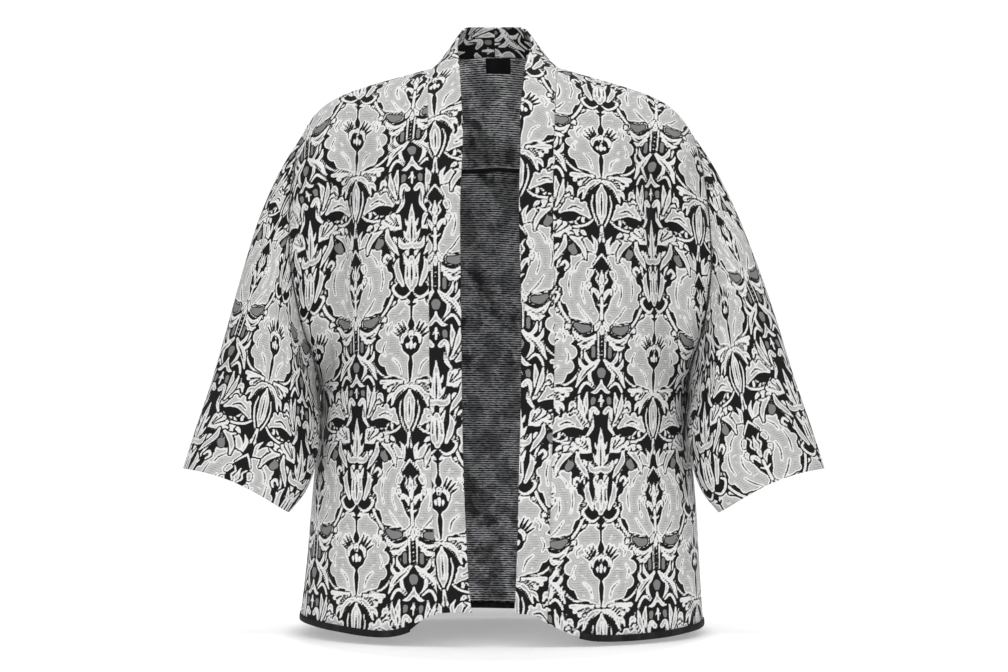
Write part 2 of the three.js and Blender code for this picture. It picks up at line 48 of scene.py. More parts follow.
REVERSE_EVERY = 4            # the wrong side has every fourth point
UNIT_U = 1.29                # one chart unit across, in mm
UNIT_V = 1.262               # and down


def named(names, *rows):
    """A table with named columns."""
    a = np.array(rows, float)
    return {n: a[:, i] for i, n in enumerate(names.split())}


FRONT = named(
    "along zIn zOut xOut wide deep square valley",
    (0, -8, -85, 245, 257, 0, 1.7, 0),
    (16, -10, -90, 250, 268, 19, 1.7, 0),
    (36, -15, -102, 255, 280, 40, 1.7, 1),
    (62, -26, -122, 260, 294, 64, 1.7, 3),
    (92, -45, -148, 264, 306, 88, 1.7, 8),
    (128, -72, -179, 267, 315, 109, 1.7, 14),
    (168, -107, -211, 268, 320, 126, 1.7, 20),
    (214, -150, -245, 268, 323, 138, 1.75, 24),
    (264, -200, -279, 266, 316, 146, 1.8, 26),
    (318, -258, -315, 261, 299, 150, 1.9, 24),
    (372, -318, -352, 254, 274, 149, 2.0, 18),
    (424, -378, -388, 244, 251, 146, 2.05, 11),
    (470, -428, -428, 239, 239, 143, 2.05, 5),
    (526, -487, -487, 243, 243, 140, 2.05, 2),
    (582, -546, -546, 249, 249, 139, 2.1, 0),
    (640, -606, -606, 253, 253, 139, 2.2, 0),
    (700, -666, -666, 257, 257, 141, 2.2, 0),
    (759, -725, -725, 262, 262, 143, 2.2, 0),
)
BACK = named(
    "along zIn zOut xOut wide deep square valley",
    (150, -128, -160, 265, 303, 108, 1.75, 8),
    (186, -166, -196, 267.5, 313, 116, 1.75, 12),
    (226, -208, -232, 268, 314, 119, 1.8, 14),
    (268, -252, -270, 266.5, 305, 118, 1.9, 14),
    (318, -302, -315, 261, 288, 115, 2.0, 11),
    (370, -345, -352, 254, 268, 112, 2.1, 8),
    (420, -386, -388, 244, 249, 111, 2.2, 4),
    (462, -428, -428, 239, 239, 112, 2.25, 2),
    (520, -487, -487, 243, 243, 117, 2.25, 0),
    (580, -546, -546, 249, 249, 124, 2.25, 0),
    (640, -606, -606, 253, 253, 130, 2.2, 0),
    (700, -666, -666, 257, 257, 135, 2.2, 0),
    (759, -725, -725, 262, 262, 138, 2.2, 0),
)
SIDE_Y = named("z y", (-85, 0), (-300, 4), (-428, 14), (-487, 24), (-546, 24), (-606, 17), (-725, 7))
SWAY = named("z x", (60, -5), (-30, -3), (-100, -0.5), (-200, 1.5), (-350, 6.5), (-600, 7.5), (-725, 5))
OPENING = {
    "right": named("z free seam", (-110, 43, 86), (-200, 48, 88), (-400, 52, 92), (-560, 49, 89), (-725, 38, 78)),
    "left": named("z free seam", (-110, 29, 70), (-200, 25, 67), (-400, 22, 63), (-560, 18, 58), (-725, 15, 56)),
}
HEM = {
    "right": named("x z", (30, -698), (76, -700), (100, -710), (116, -723.5), (150, -731.5), (210, -729), (262, -725)),
    "left": named("x z", (10, -698), (40, -701), (58, -711), (88, -724.5), (120, -731), (190, -730.5), (262, -725)),
}
NECK = named(
    "back seamX seamZ freeX freeY freeZ",
    (-132, 84, -112, 42, -134, -112),
    (-104, 85, -68, 43, -110, -64),
    (-58, 84, -25, 46, -64, -9),
    (-4, 80, -8, 50, -10, 23),
    (34, 70, 3, 45.5, 28, 43),
    (66, 49, 12.5, 36, 61, 54),
    (82, 25, 16.5, 18, 76, 56.5),
    (86, 0, 17, 0, 80, 56.5),
)
SLEEVE = named(
    "t outX outZ inX inZ y depth",
    (0, 245, -85, 239, -428, 4, 64),
    (0.12, 274, -133, 239.5, -448, -13, 64),
    (0.25, 301, -192, 236, -468, -29, 62),
    (0.4, 327, -265, 236, -491, -38, 60),
    (0.55, 350, -338, 240, -515, -42, 57),
    (0.7, 372, -410, 246, -538, -42, 54),
    (0.85, 393, -470, 257, -560, -40, 51),
    (1, 411, -525, 275, -582, -37, 48),
)


# ------------------------------------------------------------------ the form, as functions
def column(table, key, name, at):
    """Smooth value of one named column of a table, between its rows."""
    k, y = table[key], table[name]
    n = len(k)
    up = 1 if k[-1] > k[0] else -1
    at = np.asarray(at, float)
    i = np.searchsorted(k[1:n - 1] * up, at * up, side="left")
    j = np.arange(n)
    a, b = np.maximum(j - 1, 0), np.minimum(j + 1, n - 1)
    slope = (y[b] - y[a]) / (k[b] - k[a])
    h = k[i + 1] - k[i]
    t = np.clip((at - k[i]) / h, 0, 1)
    return ((2 * t**3 - 3 * t**2 + 1) * y[i] + (t**3 - 2 * t**2 + t) * h * slope[i]
            + (3 * t**2 - 2 * t**3) * y[i + 1] + (t**3 - t**2) * h * slope[i + 1])


def ease(a, b, x):
    t = np.clip((x - a) / (b - a), 0, 1)
    return t * t * (3 - 2 * t)


def mix(a, b, t):
    return a + (b - a) * t


def section(table, along, across, x_in, face):
    """Points of the body's sections: along down the panel, across from x_in out to the armhole or side seam."""
    get = {n: column(table, "along", n, along) for n in table}
    x_out = get["xOut"]
    wide = np.maximum(get["wide"], x_out)
    deep = np.maximum(0, get["deep"])
    e = get["square"]
    angle = lambda x: np.arcsin(np.clip(x / wide, 0, 1) ** (e / 2))
    a = mix(angle(x_in), angle(x_out), across)
    x = wide * np.sin(a) ** (2 / e)
    share = np.clip((x - x_in) / (x_out - x_in), 0, 1)
    z = mix(get["zIn"], get["zOut"], 0.58 * share + 0.42 * share**8)
    valley_x = mix(200, 206, np.clip((-z - 150) / 250, 0, 1))
    dip = get["valley"] * np.exp(-((x - valley_x) / 19) ** 2) * np.minimum(1, (1 - share) / 0.12)
    cos = np.maximum(0, np.cos(a))
    y = column(SIDE_Y, "z", "y", z) * (1 - cos**2) * ease(0, 8, deep)
    return np.stack([x, y + face * np.maximum(0, deep * cos ** (2 / e) - dip), z], -1)


def on_front(side, along, across, x_in):
    p = section(FRONT, along, across, x_in, -1)
    k = np.clip((along - FRONT["along"][-2]) / (FRONT["along"][-1] - FRONT["along"][-2]), 0, 1)
    hem = HEM[side]
    p[..., 2] += k * (column(hem, "x", "z", np.clip(p[..., 0], hem["x"][0], hem["x"][-1])) - HEM_Z)
    return p


def neck_seam(back):
    return np.stack([column(NECK, "back", "seamX", back), back, column(NECK, "back", "seamZ", back)], -1)


def front_seam(side, along):
    """The seam between a front and its band."""
    along = np.asarray(along, float)
    z_in = column(FRONT, "along", "zIn", along)
    low = on_front(side, along, np.zeros_like(along), np.minimum(column(OPENING[side], "z", "seam", z_in), 240))
    y = np.minimum(-4, -np.maximum(0, column(FRONT, "along", "deep", along)) * 0.93)
    high = neck_seam(y)
    high[..., 0] += (OPENING[side]["seam"][0] - NECK["seamX"][0]) * np.clip((-y - 20) / 100, 0, 1)
    high[..., 2] = z_in
    w = ease(98, 122, -z_in)[..., None]
    return mix(high, low, w)


def front_surface(side, along, across):
    """along (rows, 1), across (1, columns)."""
    seam = front_seam(side, along[:, 0])
    x_in = np.minimum(seam[:, 0], column(FRONT, "along", "xOut", along[:, 0]))[:, None]
    p = on_front(side, along, across, x_in)
    upper = 1 - ease(98, 122, -column(FRONT, "along", "zIn", along))
    return mix(p, seam[:, None, :], ((1 - across) ** 3 * upper)[..., None])


def shoulder_share(side, across):
    """For each place along the shoulder seam, its share of the way across the back."""
    x = front_surface(side, np.array([[0.0]]), across[None, :])[0, :, 0]
    wide, x_out, e = BACK["wide"][0], BACK["xOut"][0], BACK["square"][0]
    angle = lambda v: np.arcsin(np.clip(v / wide, 0, 1) ** (e / 2))
    return angle(x * x_out / x[-1]) / angle(x_out)


NECK_PART = 0.3              # share of the yoke's width that starts on the neck seam


def back_across(side, q):
    """q runs 0 to 1 from the middle of the back to the armhole; up to NECK_PART it lies under the neck."""
    first = shoulder_share(side, np.array([0.0, 1.0]))[0]
    return np.where(q < NECK_PART, first * q / NECK_PART, shoulder_share(side, np.clip((q - NECK_PART) / (1 - NECK_PART), 0, 1)))


def back_surface(side, along, q):
    return section(BACK, along, back_across(side, q[0])[None, :], 0.0, 1)


def yoke_surface(side, t, q):
    """t (rows, 1) from the neck or shoulder seam down to the yoke seam."""
    q0 = q[0]
    foot = back_surface(side, np.array([[BACK["along"][0]]]), q)[0]
    start_y = front_seam(side, np.array([0.0]))[0, 1]
    neck = np.clip(q0 / NECK_PART, 0, 1)
    on_neck = neck_seam(mix(86.0, start_y, neck**1.7))
    on_shoulder = front_surface(side, np.array([[0.0]]), np.clip((q - NECK_PART) / (1 - NECK_PART), 0, 1))[0]
    head = np.where((q0 < NECK_PART)[:, None], on_neck, on_shoulder)
    drop, reach = head[:, 2] - foot[:, 2], foot[:, 1] - head[:, 1]
    near = 1 - neck
    start = np.stack([(foot[:, 0] - head[:, 0]) * 0.6, mix(reach * 1.9, reach * 1.4 + 10, near), mix(-drop * 0.35, -drop * 0.9, near)], -1)
    end = np.stack([(foot[:, 0] - head[:, 0]) * 0.6, reach * 0.1, -drop * 1.1], -1)
    t = t[..., None]
    return ((2 * t**3 - 3 * t**2 + 1) * head + (t**3 - 2 * t**2 + t) * start + (3 * t**2 - 2 * t**3) * foot + (t**3 - t**2) * end)


UNDERARM = 470.0             # along the front's armhole
BACK_UNDERARM = 462.0


def tube(t, angle):
    get = {n: column(SLEEVE, "t", n, t) for n in SLEEVE}
    c, s = np.cos(angle), np.sin(angle)
    x = (get["outX"] + get["inX"]) / 2 + (get["outX"] - get["inX"]) / 2 * c
    z = (get["outZ"] + get["inZ"]) / 2 + (get["outZ"] - get["inZ"]) / 2 * c + s**2 * CUFF_LIFT * t**2
    return np.stack([x, get["y"] - s * get["depth"], z], -1)


def lengths(p):
    return np.concatenate([[0], np.cumsum(np.linalg.norm(np.diff(p, axis=0), axis=1))])


def even(p, n):
    """n points evenly along a line."""
    s = lengths(p)
    at = np.linspace(0, s[-1], n)
    return np.stack([np.interp(at, s, p[:, k]) for k in range(3)], -1)


def sleeve_surface(side, t, n):
    """A ring of n points, from the underarm seam up the back, over the shoulder tip and down the front."""
    one = np.array([[1.0]])
    front = front_surface(side, np.linspace(0, UNDERARM, 160)[:, None], one)[:, 0]
    back = back_surface(side, np.linspace(BACK["along"][0], BACK_UNDERARM, 120)[:, None], one)[:, 0]
    yoke = yoke_surface(side, np.linspace(0, 1, 60)[:, None], one)[:, 0]
    rear = np.vstack([yoke, back[1:]])
    half = n // 2
    front, rear = even(front, half + 1), even(rear, half + 1)
    ring = np.vstack([rear[::-1], front[1:-1]])
    angle = np.concatenate([np.linspace(-math.pi, 0, half + 1), np.linspace(0, math.pi, half + 1)[1:-1]])
    shift = ring - tube(0.0, angle)
    return tube(t, angle[None, :]) + shift[None] * ((1 - t) ** 2.2)[..., None]


def neck_free(side, back):
    get = lambda name: column(NECK, "back", name, np.clip(back, -132, 86))
    low = np.clip((-back - 4) / 110, 0, 1)
    return np.stack([get("freeX") + low * (OPENING[side]["free"][0] - NECK["freeX"][0]), get("freeY"), get("freeZ")], -1)


def band_surface(side, run, f):
    """run (rows, 1): above 0 it is along the front; below 0, from the shoulder (0) to the middle of the neck (-1)."""
    r = run[:, 0]
    along = np.maximum(r, 0)
    seam = front_seam(side, along)
    behind = neck_seam(mix(86.0, seam[np.argmin(np.abs(r))][1], np.clip(1 + r, 0, 1) ** 1.7))
    seam = np.where((r < 0)[:, None], behind, seam)
    z_in = column(FRONT, "along", "zIn", along)
    free_x = column(OPENING[side], "z", "free", z_in)
    flat = on_front(side, along[:, None], np.zeros_like(f), mix(seam[:, :1], free_x[:, None], f))
    free = neck_free(side, seam[:, 1])
    straight = mix(seam[:, None, :], free[:, None, :], f[..., None])
    w = (ease(98, 122, -z_in) * (r >= 0))[:, None, None]
    return mix(straight, flat, w)


def lean(p, side, hem=1.0):
    """Puts a left-side form in place, mirrored for the right side."""
    p = p.copy()
    if side == "right":
        p[..., 0] *= -1
    x = p[..., 0].copy()
    z = p[..., 2].copy()
    p[..., 0] += column(SWAY, "z", "x", z)
    p[..., 2] -= hem * HEM_TILT * x * np.clip((-z - 430) / 290, 0, 1)
    return p

# ------------------------------------------------------------------ the woven figure, charted
# One column of the figure, drawn as strokes in chart units (1 unit = 1.24 mm): x from the column's mirror line,
# y downwards from the middle of the pomegranate flower. The column is mirrored in x = 0, and the next column
# stands COLUMN to the side and half a REPEAT lower.
COLUMN = 62.0
REPEAT = 426.0
STEP = 0.5
LEAF_GAP = 1.25              # black left round each leaf that lies on another


def curve(points, radii, per=7):
    """A smooth line through points, with its radius, as many short lengths."""
    p = np.array(points, float)
    r = np.array(radii, float)
    if len(p) == 1:
        p = np.vstack([p, p + 0.01])
        r = np.repeat(r, 2)
    if len(p) == 2:
        t = np.linspace(0, 1, per)[:, None]
        return p[0] + (p[1] - p[0]) * t, r[0] + (r[1] - r[0]) * t[:, 0]
    q = np.vstack([2 * p[0] - p[1], p, 2 * p[-1] - p[-2]])
    s = np.concatenate([[r[0]], r, [r[-1]]])
    out, rad = [], []
    for k in range(1, len(q) - 2):
        for t in np.linspace(0, 1, per, endpoint=k == len(q) - 3):
            a = np.array([-t + 2 * t**2 - t**3, 2 - 5 * t**2 + 3 * t**3, t + 4 * t**2 - 3 * t**3, t**3 - t**2]) / 2
            out.append(a @ q[k - 1:k + 3])
            rad.append(s[k] + (s[k + 1] - s[k]) * t * t * (3 - 2 * t))
    return np.array(out), np.maximum(np.array(rad), 0.2)


class Figure:
    """Two fields over one repeat: leaf and mid, each the distance to the nearest outline, negative inside."""

    def __init__(self):
        self.nx, self.ny = int(2 * COLUMN / STEP), int(REPEAT / STEP)
        self.leaf = np.full((self.ny, self.nx), 9.0)
        self.mid = np.full((self.ny, self.nx), 9.0)

    def field(self, strokes, reach=7.0):
        """Each copy of a shape, as (rows, columns, distance)."""
        lines = [curve(s[0], s[1]) for s in strokes]
        for drop in (0, 1):
            for side in (1, -1):
                both = min(np.min(np.abs(p[:, 0])) - np.max(r) for p, r in lines) < 5
                if both and side < 0:
                    continue
                placed = [(p * [side, 1] + [drop * COLUMN, drop * REPEAT / 2], r) for p, r in lines]
                if both:
                    placed += [(p * [-1, 1] + [drop * COLUMN, drop * REPEAT / 2], r) for p, r in lines]
                low = np.min([(p - r[:, None]).min(0) for p, r in placed], axis=0) - reach
                high = np.max([(p + r[:, None]).max(0) for p, r in placed], axis=0) + reach
                ix = np.arange(int(low[0] / STEP) - 1, int(high[0] / STEP) + 2)[: self.nx]
                iy = np.arange(int(low[1] / STEP) - 1, int(high[1] / STEP) + 2)[: self.ny]
                x, y = np.meshgrid(ix * STEP, iy * STEP)
                d = np.full(x.shape, 9.0)
                for p, r in placed:
                    for k in range(len(p) - 1):
                        e = p[k + 1] - p[k]
                        t = np.clip(((x - p[k, 0]) * e[0] + (y - p[k, 1]) * e[1]) / max(e @ e, 1e-9), 0, 1)
                        near = np.hypot(x - p[k, 0] - t * e[0], y - p[k, 1] - t * e[1])
                        d = np.minimum(d, near - (r[k] + (r[k + 1] - r[k]) * t))
                yield np.ix_(iy % self.ny, ix % self.nx), d

    def grow(self, *strokes, gap=LEAF_GAP):
        """A leaf, petal or line, lying on what is there, with ground left round it."""
        for at, d in self.field(strokes):
            self.leaf[at] = np.minimum(np.maximum(self.leaf[at], gap - d), d)
            self.mid[at] = np.maximum(self.mid[at], gap - d)

    def cut(self, *strokes):
        """Ground that shows through."""
        for at, d in self.field(strokes):
            self.leaf[at] = np.maximum(self.leaf[at], -d)
            self.mid[at] = np.maximum(self.mid[at], -d)

    def shade(self, *strokes, rim=0.0):
        """A flat grey fill, with a light rim if it has one."""
        for at, d in self.field(strokes):
            if rim:
                self.leaf[at] = np.minimum(np.maximum(self.leaf[at], LEAF_GAP - (d - rim)), d - rim)
            self.leaf[at] = np.maximum(self.leaf[at], 0.9 - d)
            self.mid[at] = np.minimum(self.mid[at], d)

    def sample(self, u, v):
        """Both fields at u, v in mm: u from a column's mirror line, v downwards from a flower's middle."""
        x = (u / UNIT_U / STEP) % self.nx
        y = (v / UNIT_V / STEP) % self.ny
        i, j = np.floor(x).astype(int), np.floor(y).astype(int)
        fx, fy = x - i, y - j
        i1, j1 = (i + 1) % self.nx, (j + 1) % self.ny
        i, j = i % self.nx, j % self.ny
        return [
            (f[j, i] * (1 - fx) + f[j, i1] * fx) * (1 - fy) + (f[j1, i] * (1 - fx) + f[j1, i1] * fx) * fy
            for f in (self.leaf, self.mid)
        ]


def fan(base, tips, radius, foot=1.2):
    """Several fingers from one base."""
    return [([base, ((base[0] + t[0]) / 2, (base[1] + t[1]) / 2), t], [foot, radius * 0.8, radius]) for t in tips]


def draw_figure():
    f = Figure()
    # leaves and combs that fill the room between the columns
    f.grow(([(18, 360), (22, 368), (22, 379), (17, 388)], [1, 2.9, 2.7, 1]))
    f.cut(([(20, 364), (22, 372), (21, 381)], [0.3, 0.7, 0.3]))
    f.grow(([(14, 104), (19, 98), (26, 98)], [1, 2.3, 0.9]))
    f.grow(([(22, 78), (30, 70), (40, 70), (50, 77)], [2.2, 6.2, 6.6, 2.6]), ([(27, 65), (29, 69)], [3.2, 3.5]),
           ([(35, 63), (35, 68)], [3.4, 3.5]), ([(43, 64), (42, 69)], [3, 3.2]))
    f.cut(([(30, 74), (36, 71), (42, 71)], [0.7, 0.8, 0.6]))
    f.grow(([(53, 80), (42, 88), (30, 89), (21, 83)], [1.2, 1.3, 1.3, 1.1]))
    f.grow(([(12, 84), (17, 82), (19, 87), (15, 91), (12, 88)], [1.4, 1.7, 1.7, 1.5, 1.3]))
    f.grow(([(22, 106), (30, 97), (40, 94), (51, 98)], [2.2, 3.6, 3.4, 1.2]), ([(33, 97), (38, 103), (45, 105)], [2, 2.4, 1]),
           ([(26, 100), (24, 93), (27, 88)], [2, 2.6, 1]))
    f.cut(([(27, 101), (38, 97), (46, 98)], [0.5, 0.7, 0.5]))
    f.shade(([(31, 110), (33, 113)], [4.2, 3.6]))
    f.grow(([(38, 116), (44, 112), (47, 118), (42, 123), (38, 121)], [1.5, 2.1, 2.1, 1.8, 1.4]))
    f.grow(([(50, 112), (55, 118), (57, 128), (54, 138)], [1.4, 2.8, 2.6, 1.2]), ([(54, 116), (60, 113)], [1.8, 1]))
    f.grow(([(20, 292), (30, 286), (42, 288), (50, 296)], [2, 5.4, 5.8, 2.2]), ([(28, 281), (30, 286)], [3, 3.4]),
           ([(37, 280), (37, 286)], [3.2, 3.4]), ([(45, 283), (44, 289)], [2.8, 3]))
    f.cut(([(28, 289), (35, 286), (43, 289)], [0.6, 0.8, 0.5]))
    f.grow(([(21, 299), (32, 306), (46, 304), (55, 297)], [1.1, 1.3, 1.3, 1.1]))
    f.grow(([(24, 272), (30, 268), (33, 274)], [2, 2.8, 1.2]), ([(27, 270), (27, 262)], [1.8, 1]))
    # pomegranate flower: a broad lobed body with a dark heart
    f.grow(([(0, -30), (0, -16), (0, 2), (0, 16), (0, 30), (0, 44)], [12, 24, 31, 29, 18, 3]),
           ([(9, -36), (9, -30)], [6.5, 6]), ([(20, -26), (18, -20)], [8, 7]), ([(28, -12), (25, -8)], [8, 7]),
           ([(30, 4), (27, 4)], [7.5, 7]), ([(27, 18), (24, 16)], [7.5, 7]), ([(19, 29), (17, 26)], [6.6, 6]))
    f.grow(([(17, -38), (24, -34), (29, -26), (27, -20)], [1.6, 2.4, 2.2, 1.4]), ([(27, -22), (33, -20), (31, -15)], [1.8, 2, 1.2]))
    f.cut(([(0, -44), (0, -30), (0, -20)], [1.1, 1, 0.8]), ([(0, -39), (4, -42)], [1.6, 0.8]), ([(0, -34), (4.6, -36)], [1.4, 0.7]))
    f.cut(([(0, -22), (0, -15), (0, -10)], [0.9, 3.2, 1.2]))
    f.cut(([(8, -9), (13, -17)], [1.3, 0.6]), ([(10.5, -7), (17, -14)], [1.2, 0.5]), ([(5.5, -10.5), (9, -19)], [1.1, 0.5]),
          ([(12.5, -4.5), (19, -9)], [1.1, 0.5]))
    f.cut(([(4.6, 1), (4.4, 7), (0.5, 15)], [4.6, 4.4, 1.4]))
    f.grow(([(0, -7), (0, -3)], [2.8, 2.4]), ([(5, -6), (8.5, -3), (9, 3)], [2, 2.2, 1.2]), gap=1)
    f.grow(([(0, 2), (0, 8)], [1.8, 1.4]), ([(4, 4.5), (3.5, 8)], [1.8, 1]), gap=1)
    f.cut(([(0, -4), (0, -3)], [0.9, 0.9]))
    f.cut(([(0, 14), (0, 24), (0, 33), (0, 41)], [0.7, 2.3, 1.6, 0.7]))
    f.cut(([(9, 33), (12, 24), (18, 18)], [0.3, 0.55, 0.3]), ([(27, 14), (29, 8), (26, 1)], [0.3, 0.5, 0.3]),
          ([(20, -18), (25, -12), (24, -7)], [0.3, 0.5, 0.3]))
    f.grow(([(41, 0), (42, 13), (37, 26), (28, 35), (14, 39)], [1.1, 1.2, 1.2, 1.2, 1.1]))
    # fans, drooping petals and the slender bud under it
    f.grow(*fan((8, 41), [(11, 51), (16.5, 51.5), (22, 50), (27, 46), (30.5, 41)], 2.5))
    f.cut(([(10, 43), (13.6, 50)], [0.4, 0.9]), ([(12, 42.5), (19, 49)], [0.4, 0.9]), ([(13, 42), (24, 46)], [0.4, 0.9]))
    f.grow(([(2, 46), (9, 49), (15, 56), (19, 65)], [2.2, 3.6, 3.4, 1.2]), ([(13, 53), (21, 56), (24, 62)], [2, 2.4, 1]))
    f.cut(([(6, 49), (12, 55), (16, 62)], [0.4, 0.8, 0.4]))
    f.grow(([(0, 50), (0, 62), (0, 76), (0, 90)], [1.6, 6, 5.4, 1]))
    f.cut(([(0, 58), (0, 70), (0, 80)], [0.3, 0.8, 0.3]))
    f.grow(([(8.5, 60), (10, 70), (7, 82), (2.5, 92)], [0.9, 1.1, 1.1, 1]), gap=1.2)
    f.grow(([(0, 92), (0, 101), (3.5, 108), (6, 118)], [1.6, 2.2, 1.6, 1.1]))
    f.cut(([(0, 97), (0, 112)], [0.5, 0.8]))
    # round flower: two curled lobes about a dark arch with a lily in it
    f.grow(([(10, 122), (12, 112), (17, 105), (22, 108)], [3.4, 3.8, 2.4, 1]), ([(7, 118), (6, 108), (10, 101)], [2.2, 2.2, 0.8]))
    f.grow(([(9, 124), (17, 128), (23, 139), (25, 153), (22, 168), (15, 180), (5, 190)], [5, 9.5, 13, 14.5, 14, 12, 6]),
           ([(27, 124), (25, 128)], [5, 5]), ([(34, 134), (31, 137)], [5, 5]), ([(38, 149), (33, 150)], [5, 5]),
           ([(36, 165), (31, 164)], [5, 5]), ([(28, 179), (25, 176)], [5.2, 5]), ([(16, 189), (15, 186)], [4.6, 5]))
    f.cut(([(31, 139), (33, 151), (31, 162)], [0.3, 0.55, 0.3]), ([(19, 125), (25, 131), (27, 137)], [0.3, 0.55, 0.3]),
          ([(24, 170), (18, 179), (11, 186)], [0.3, 0.55, 0.3]), ([(19, 148), (20, 158), (17, 168)], [0.3, 0.5, 0.3]))
    f.cut(([(0, 118), (0, 128), (0, 138)], [0.9, 2, 4.5]), ([(0, 136), (0, 148), (0, 162), (0, 178)], [4.5, 10.5, 7.5, 0.9]))
    f.grow(([(10.5, 137), (12, 141)], [3, 2.4]), ([(12.5, 150), (11.5, 154)], [2.8, 2]), gap=0.8)
    f.grow(([(8, 130), (4, 124), (0, 119)], [0.8, 1.1, 1.2]), gap=0.9)
    f.grow(([(0, 135), (0, 147), (0, 157)], [0.9, 3.2, 1.8]), gap=0.9)
    f.grow(([(1.5, 165), (5, 157), (9, 154), (9.5, 159)], [1.6, 2.3, 1.7, 0.9]), gap=0.9)
    f.grow(([(0, 196), (0, 178), (0, 162)], [3, 1.5, 1.4]), ([(0.5, 171), (5, 168)], [1.2, 0.9]), gap=0.9)
    f.grow(([(2.6, 149), (5.6, 144), (3.6, 139), (6.6, 134)], [0.9, 1.1, 1, 0.8]), gap=0.7)
    f.grow(([(31, 110), (40, 121), (45, 137), (46, 154), (42, 171), (33, 186), (20, 196)], [1, 1.4, 1.5, 1.5, 1.5, 1.4, 1]))
    f.grow(([(2, 186), (6, 192), (13, 196)], [1.2, 2.6, 1]), gap=0.9)
    # cups, swirls and small grey drops under it
    f.shade(([(14, 193), (20, 193.5), (26, 190)], [3.2, 4, 2.4]), rim=2.1)
    f.grow(([(5, 200), (13, 205), (22, 204), (29, 196)], [2.6, 3.4, 3.2, 1.2]), ([(9, 208), (17, 212), (24, 209)], [2, 2.6, 1]))
    f.cut(([(9, 203), (17, 207), (24, 203)], [0.4, 0.8, 0.4]))
    f.shade(([(8.5, 212), (8.5, 220)], [1.9, 1.9]))
    f.shade(([(14.5, 217), (14.5, 222)], [1.9, 1.7]))
    f.grow(([(3.6, 196), (3.6, 212), (3.2, 226)], [1, 1, 1.1]), gap=0.8)
    for k in range(6):
        f.grow(([(0, 201 + 4.4 * k)], [1]), gap=0.5)
    # flames, crown and hooks
    f.grow(([(3, 224), (10, 231), (19, 238), (26, 251)], [1.8, 3.8, 3.6, 1.2]), ([(9, 229), (15, 223), (17, 215)], [1.8, 2.2, 0.9]),
           ([(14, 234), (21, 229), (23, 222)], [1.8, 2.2, 0.9]), ([(12, 234), (12, 243), (7, 250)], [1.6, 2.2, 0.9]))
    f.cut(([(7, 229), (15, 236), (21, 243)], [0.4, 0.8, 0.4]))
    f.shade(([(0, 236), (0, 239)], [4.6, 3.4]))
    f.grow(([(0, 244), (0, 251)], [1.2, 2.8]), ([(1, 250), (6, 256), (11, 257)], [2.2, 2.2, 0.9]))
    f.grow(([(9, 252), (16, 247), (22, 254), (25, 266)], [1, 1.6, 1.5, 1]))
    f.shade(([(8.5, 264), (9.5, 272)], [2.6, 1.6]))
    f.grow(([(0, 260), (0, 271)], [1.4, 1.2]), ([(0, 262), (3.5, 266)], [1, 0.8]))
    f.grow(([(15, 257), (16.5, 268), (15, 281)], [1.2, 3, 1.1]))
    f.grow(([(23, 260), (21.5, 272), (16, 286)], [1.1, 2.8, 1.2]))
    f.grow(([(4, 277), (8.5, 274), (10.5, 281), (9.5, 291), (16, 301)], [2.6, 3.4, 2.6, 2.2, 1.4]))
    f.cut(([(8, 276), (9.5, 283), (9.5, 290)], [0.5, 0.7, 0.4]))
    # palmette between fans, and its crown
    f.grow(([(0, 292), (0, 306), (0, 320), (0, 330)], [0.9, 3.4, 5.2, 5.8]), ([(4.5, 326), (8.5, 318)], [2.6, 0.8]),
           ([(5, 312), (7, 306)], [1.6, 0.7]), ([(3, 334), (10, 333), (13, 325)], [3, 3, 1]))
    f.cut(([(0, 306), (0, 320), (0, 330)], [0.4, 0.9, 0.5]), ([(3, 330), (7, 326)], [0.6, 0.4]))
    f.grow(*fan((11, 316), [(14, 304), (19, 302.5), (24.5, 304), (29, 308), (31, 314)], 2.7))
    f.cut(([(13, 313), (16.5, 305)], [0.4, 0.8]), ([(14, 313), (22, 304)], [0.4, 0.8]), ([(15, 314), (27, 307)], [0.4, 0.8]))
    f.grow(([(25, 316), (24, 325), (18, 334), (13, 342)], [1.6, 3, 2.8, 1]))
    f.grow(([(31, 317), (38, 321), (44, 329), (46, 338)], [1.6, 3, 2.6, 1]), ([(36, 319), (43, 316)], [1.8, 0.9]))
    f.shade(([(32, 328), (34, 331)], [3.8, 3.4]))
    f.grow(([(0, 346), (0, 356), (0, 366), (0, 376)], [3, 7, 7.4, 3]), ([(5, 350), (8.5, 341)], [2.4, 0.8]))
    f.cut(([(0, 350), (0, 362), (0, 372)], [0.4, 0.9, 0.4]), ([(4, 352), (4.5, 364)], [0.3, 0.7]))
    f.grow(([(9, 372), (13, 362), (15, 352), (13, 345)], [2, 3.2, 2.6, 0.9]), ([(14, 358), (19, 352)], [1.8, 0.9]))
    f.grow(([(21, 345), (25, 341), (28, 345), (25, 349)], [1.2, 1.6, 1.6, 1.2]))
    # small scrolls and leaves over the next flower
    f.grow(([(2, 380), (8, 384), (15, 381), (19, 374), (15, 370)], [1, 1.5, 1.6, 1.5, 1.1]))
    return f


# ------------------------------------------------------------------ placing of the figure, light
SLEEVE_UP = {"left": 236.0, "right": 190.0}
BAND_LINE = {"left": (-44.0, 98.0), "right": (-9.0, 143.0)}
FLOOR_GLOW_PAINTED_SHADE = (0.255, 0.10, 0.55)                # floor glow under the hem, behind it, and away from it: painted shadow under the hem, deeper painted shadow behind it, painted light away from it
FLOOR_RADIUS = 1.5
WORLD = 0.54
LAMPS = [
    ("key", (-1.3, -2.6, 0.35), (0, 0, -0.3), (1.6, 1.6), 17),
    ("fill", (1.7, -2.4, -0.05), (0, 0, -0.3), (1.6, 1.8), 13.2),
    ("top", (0, -0.45, 1.9), (0, 0, -0.7), (2.4, 1.0), 30),
]
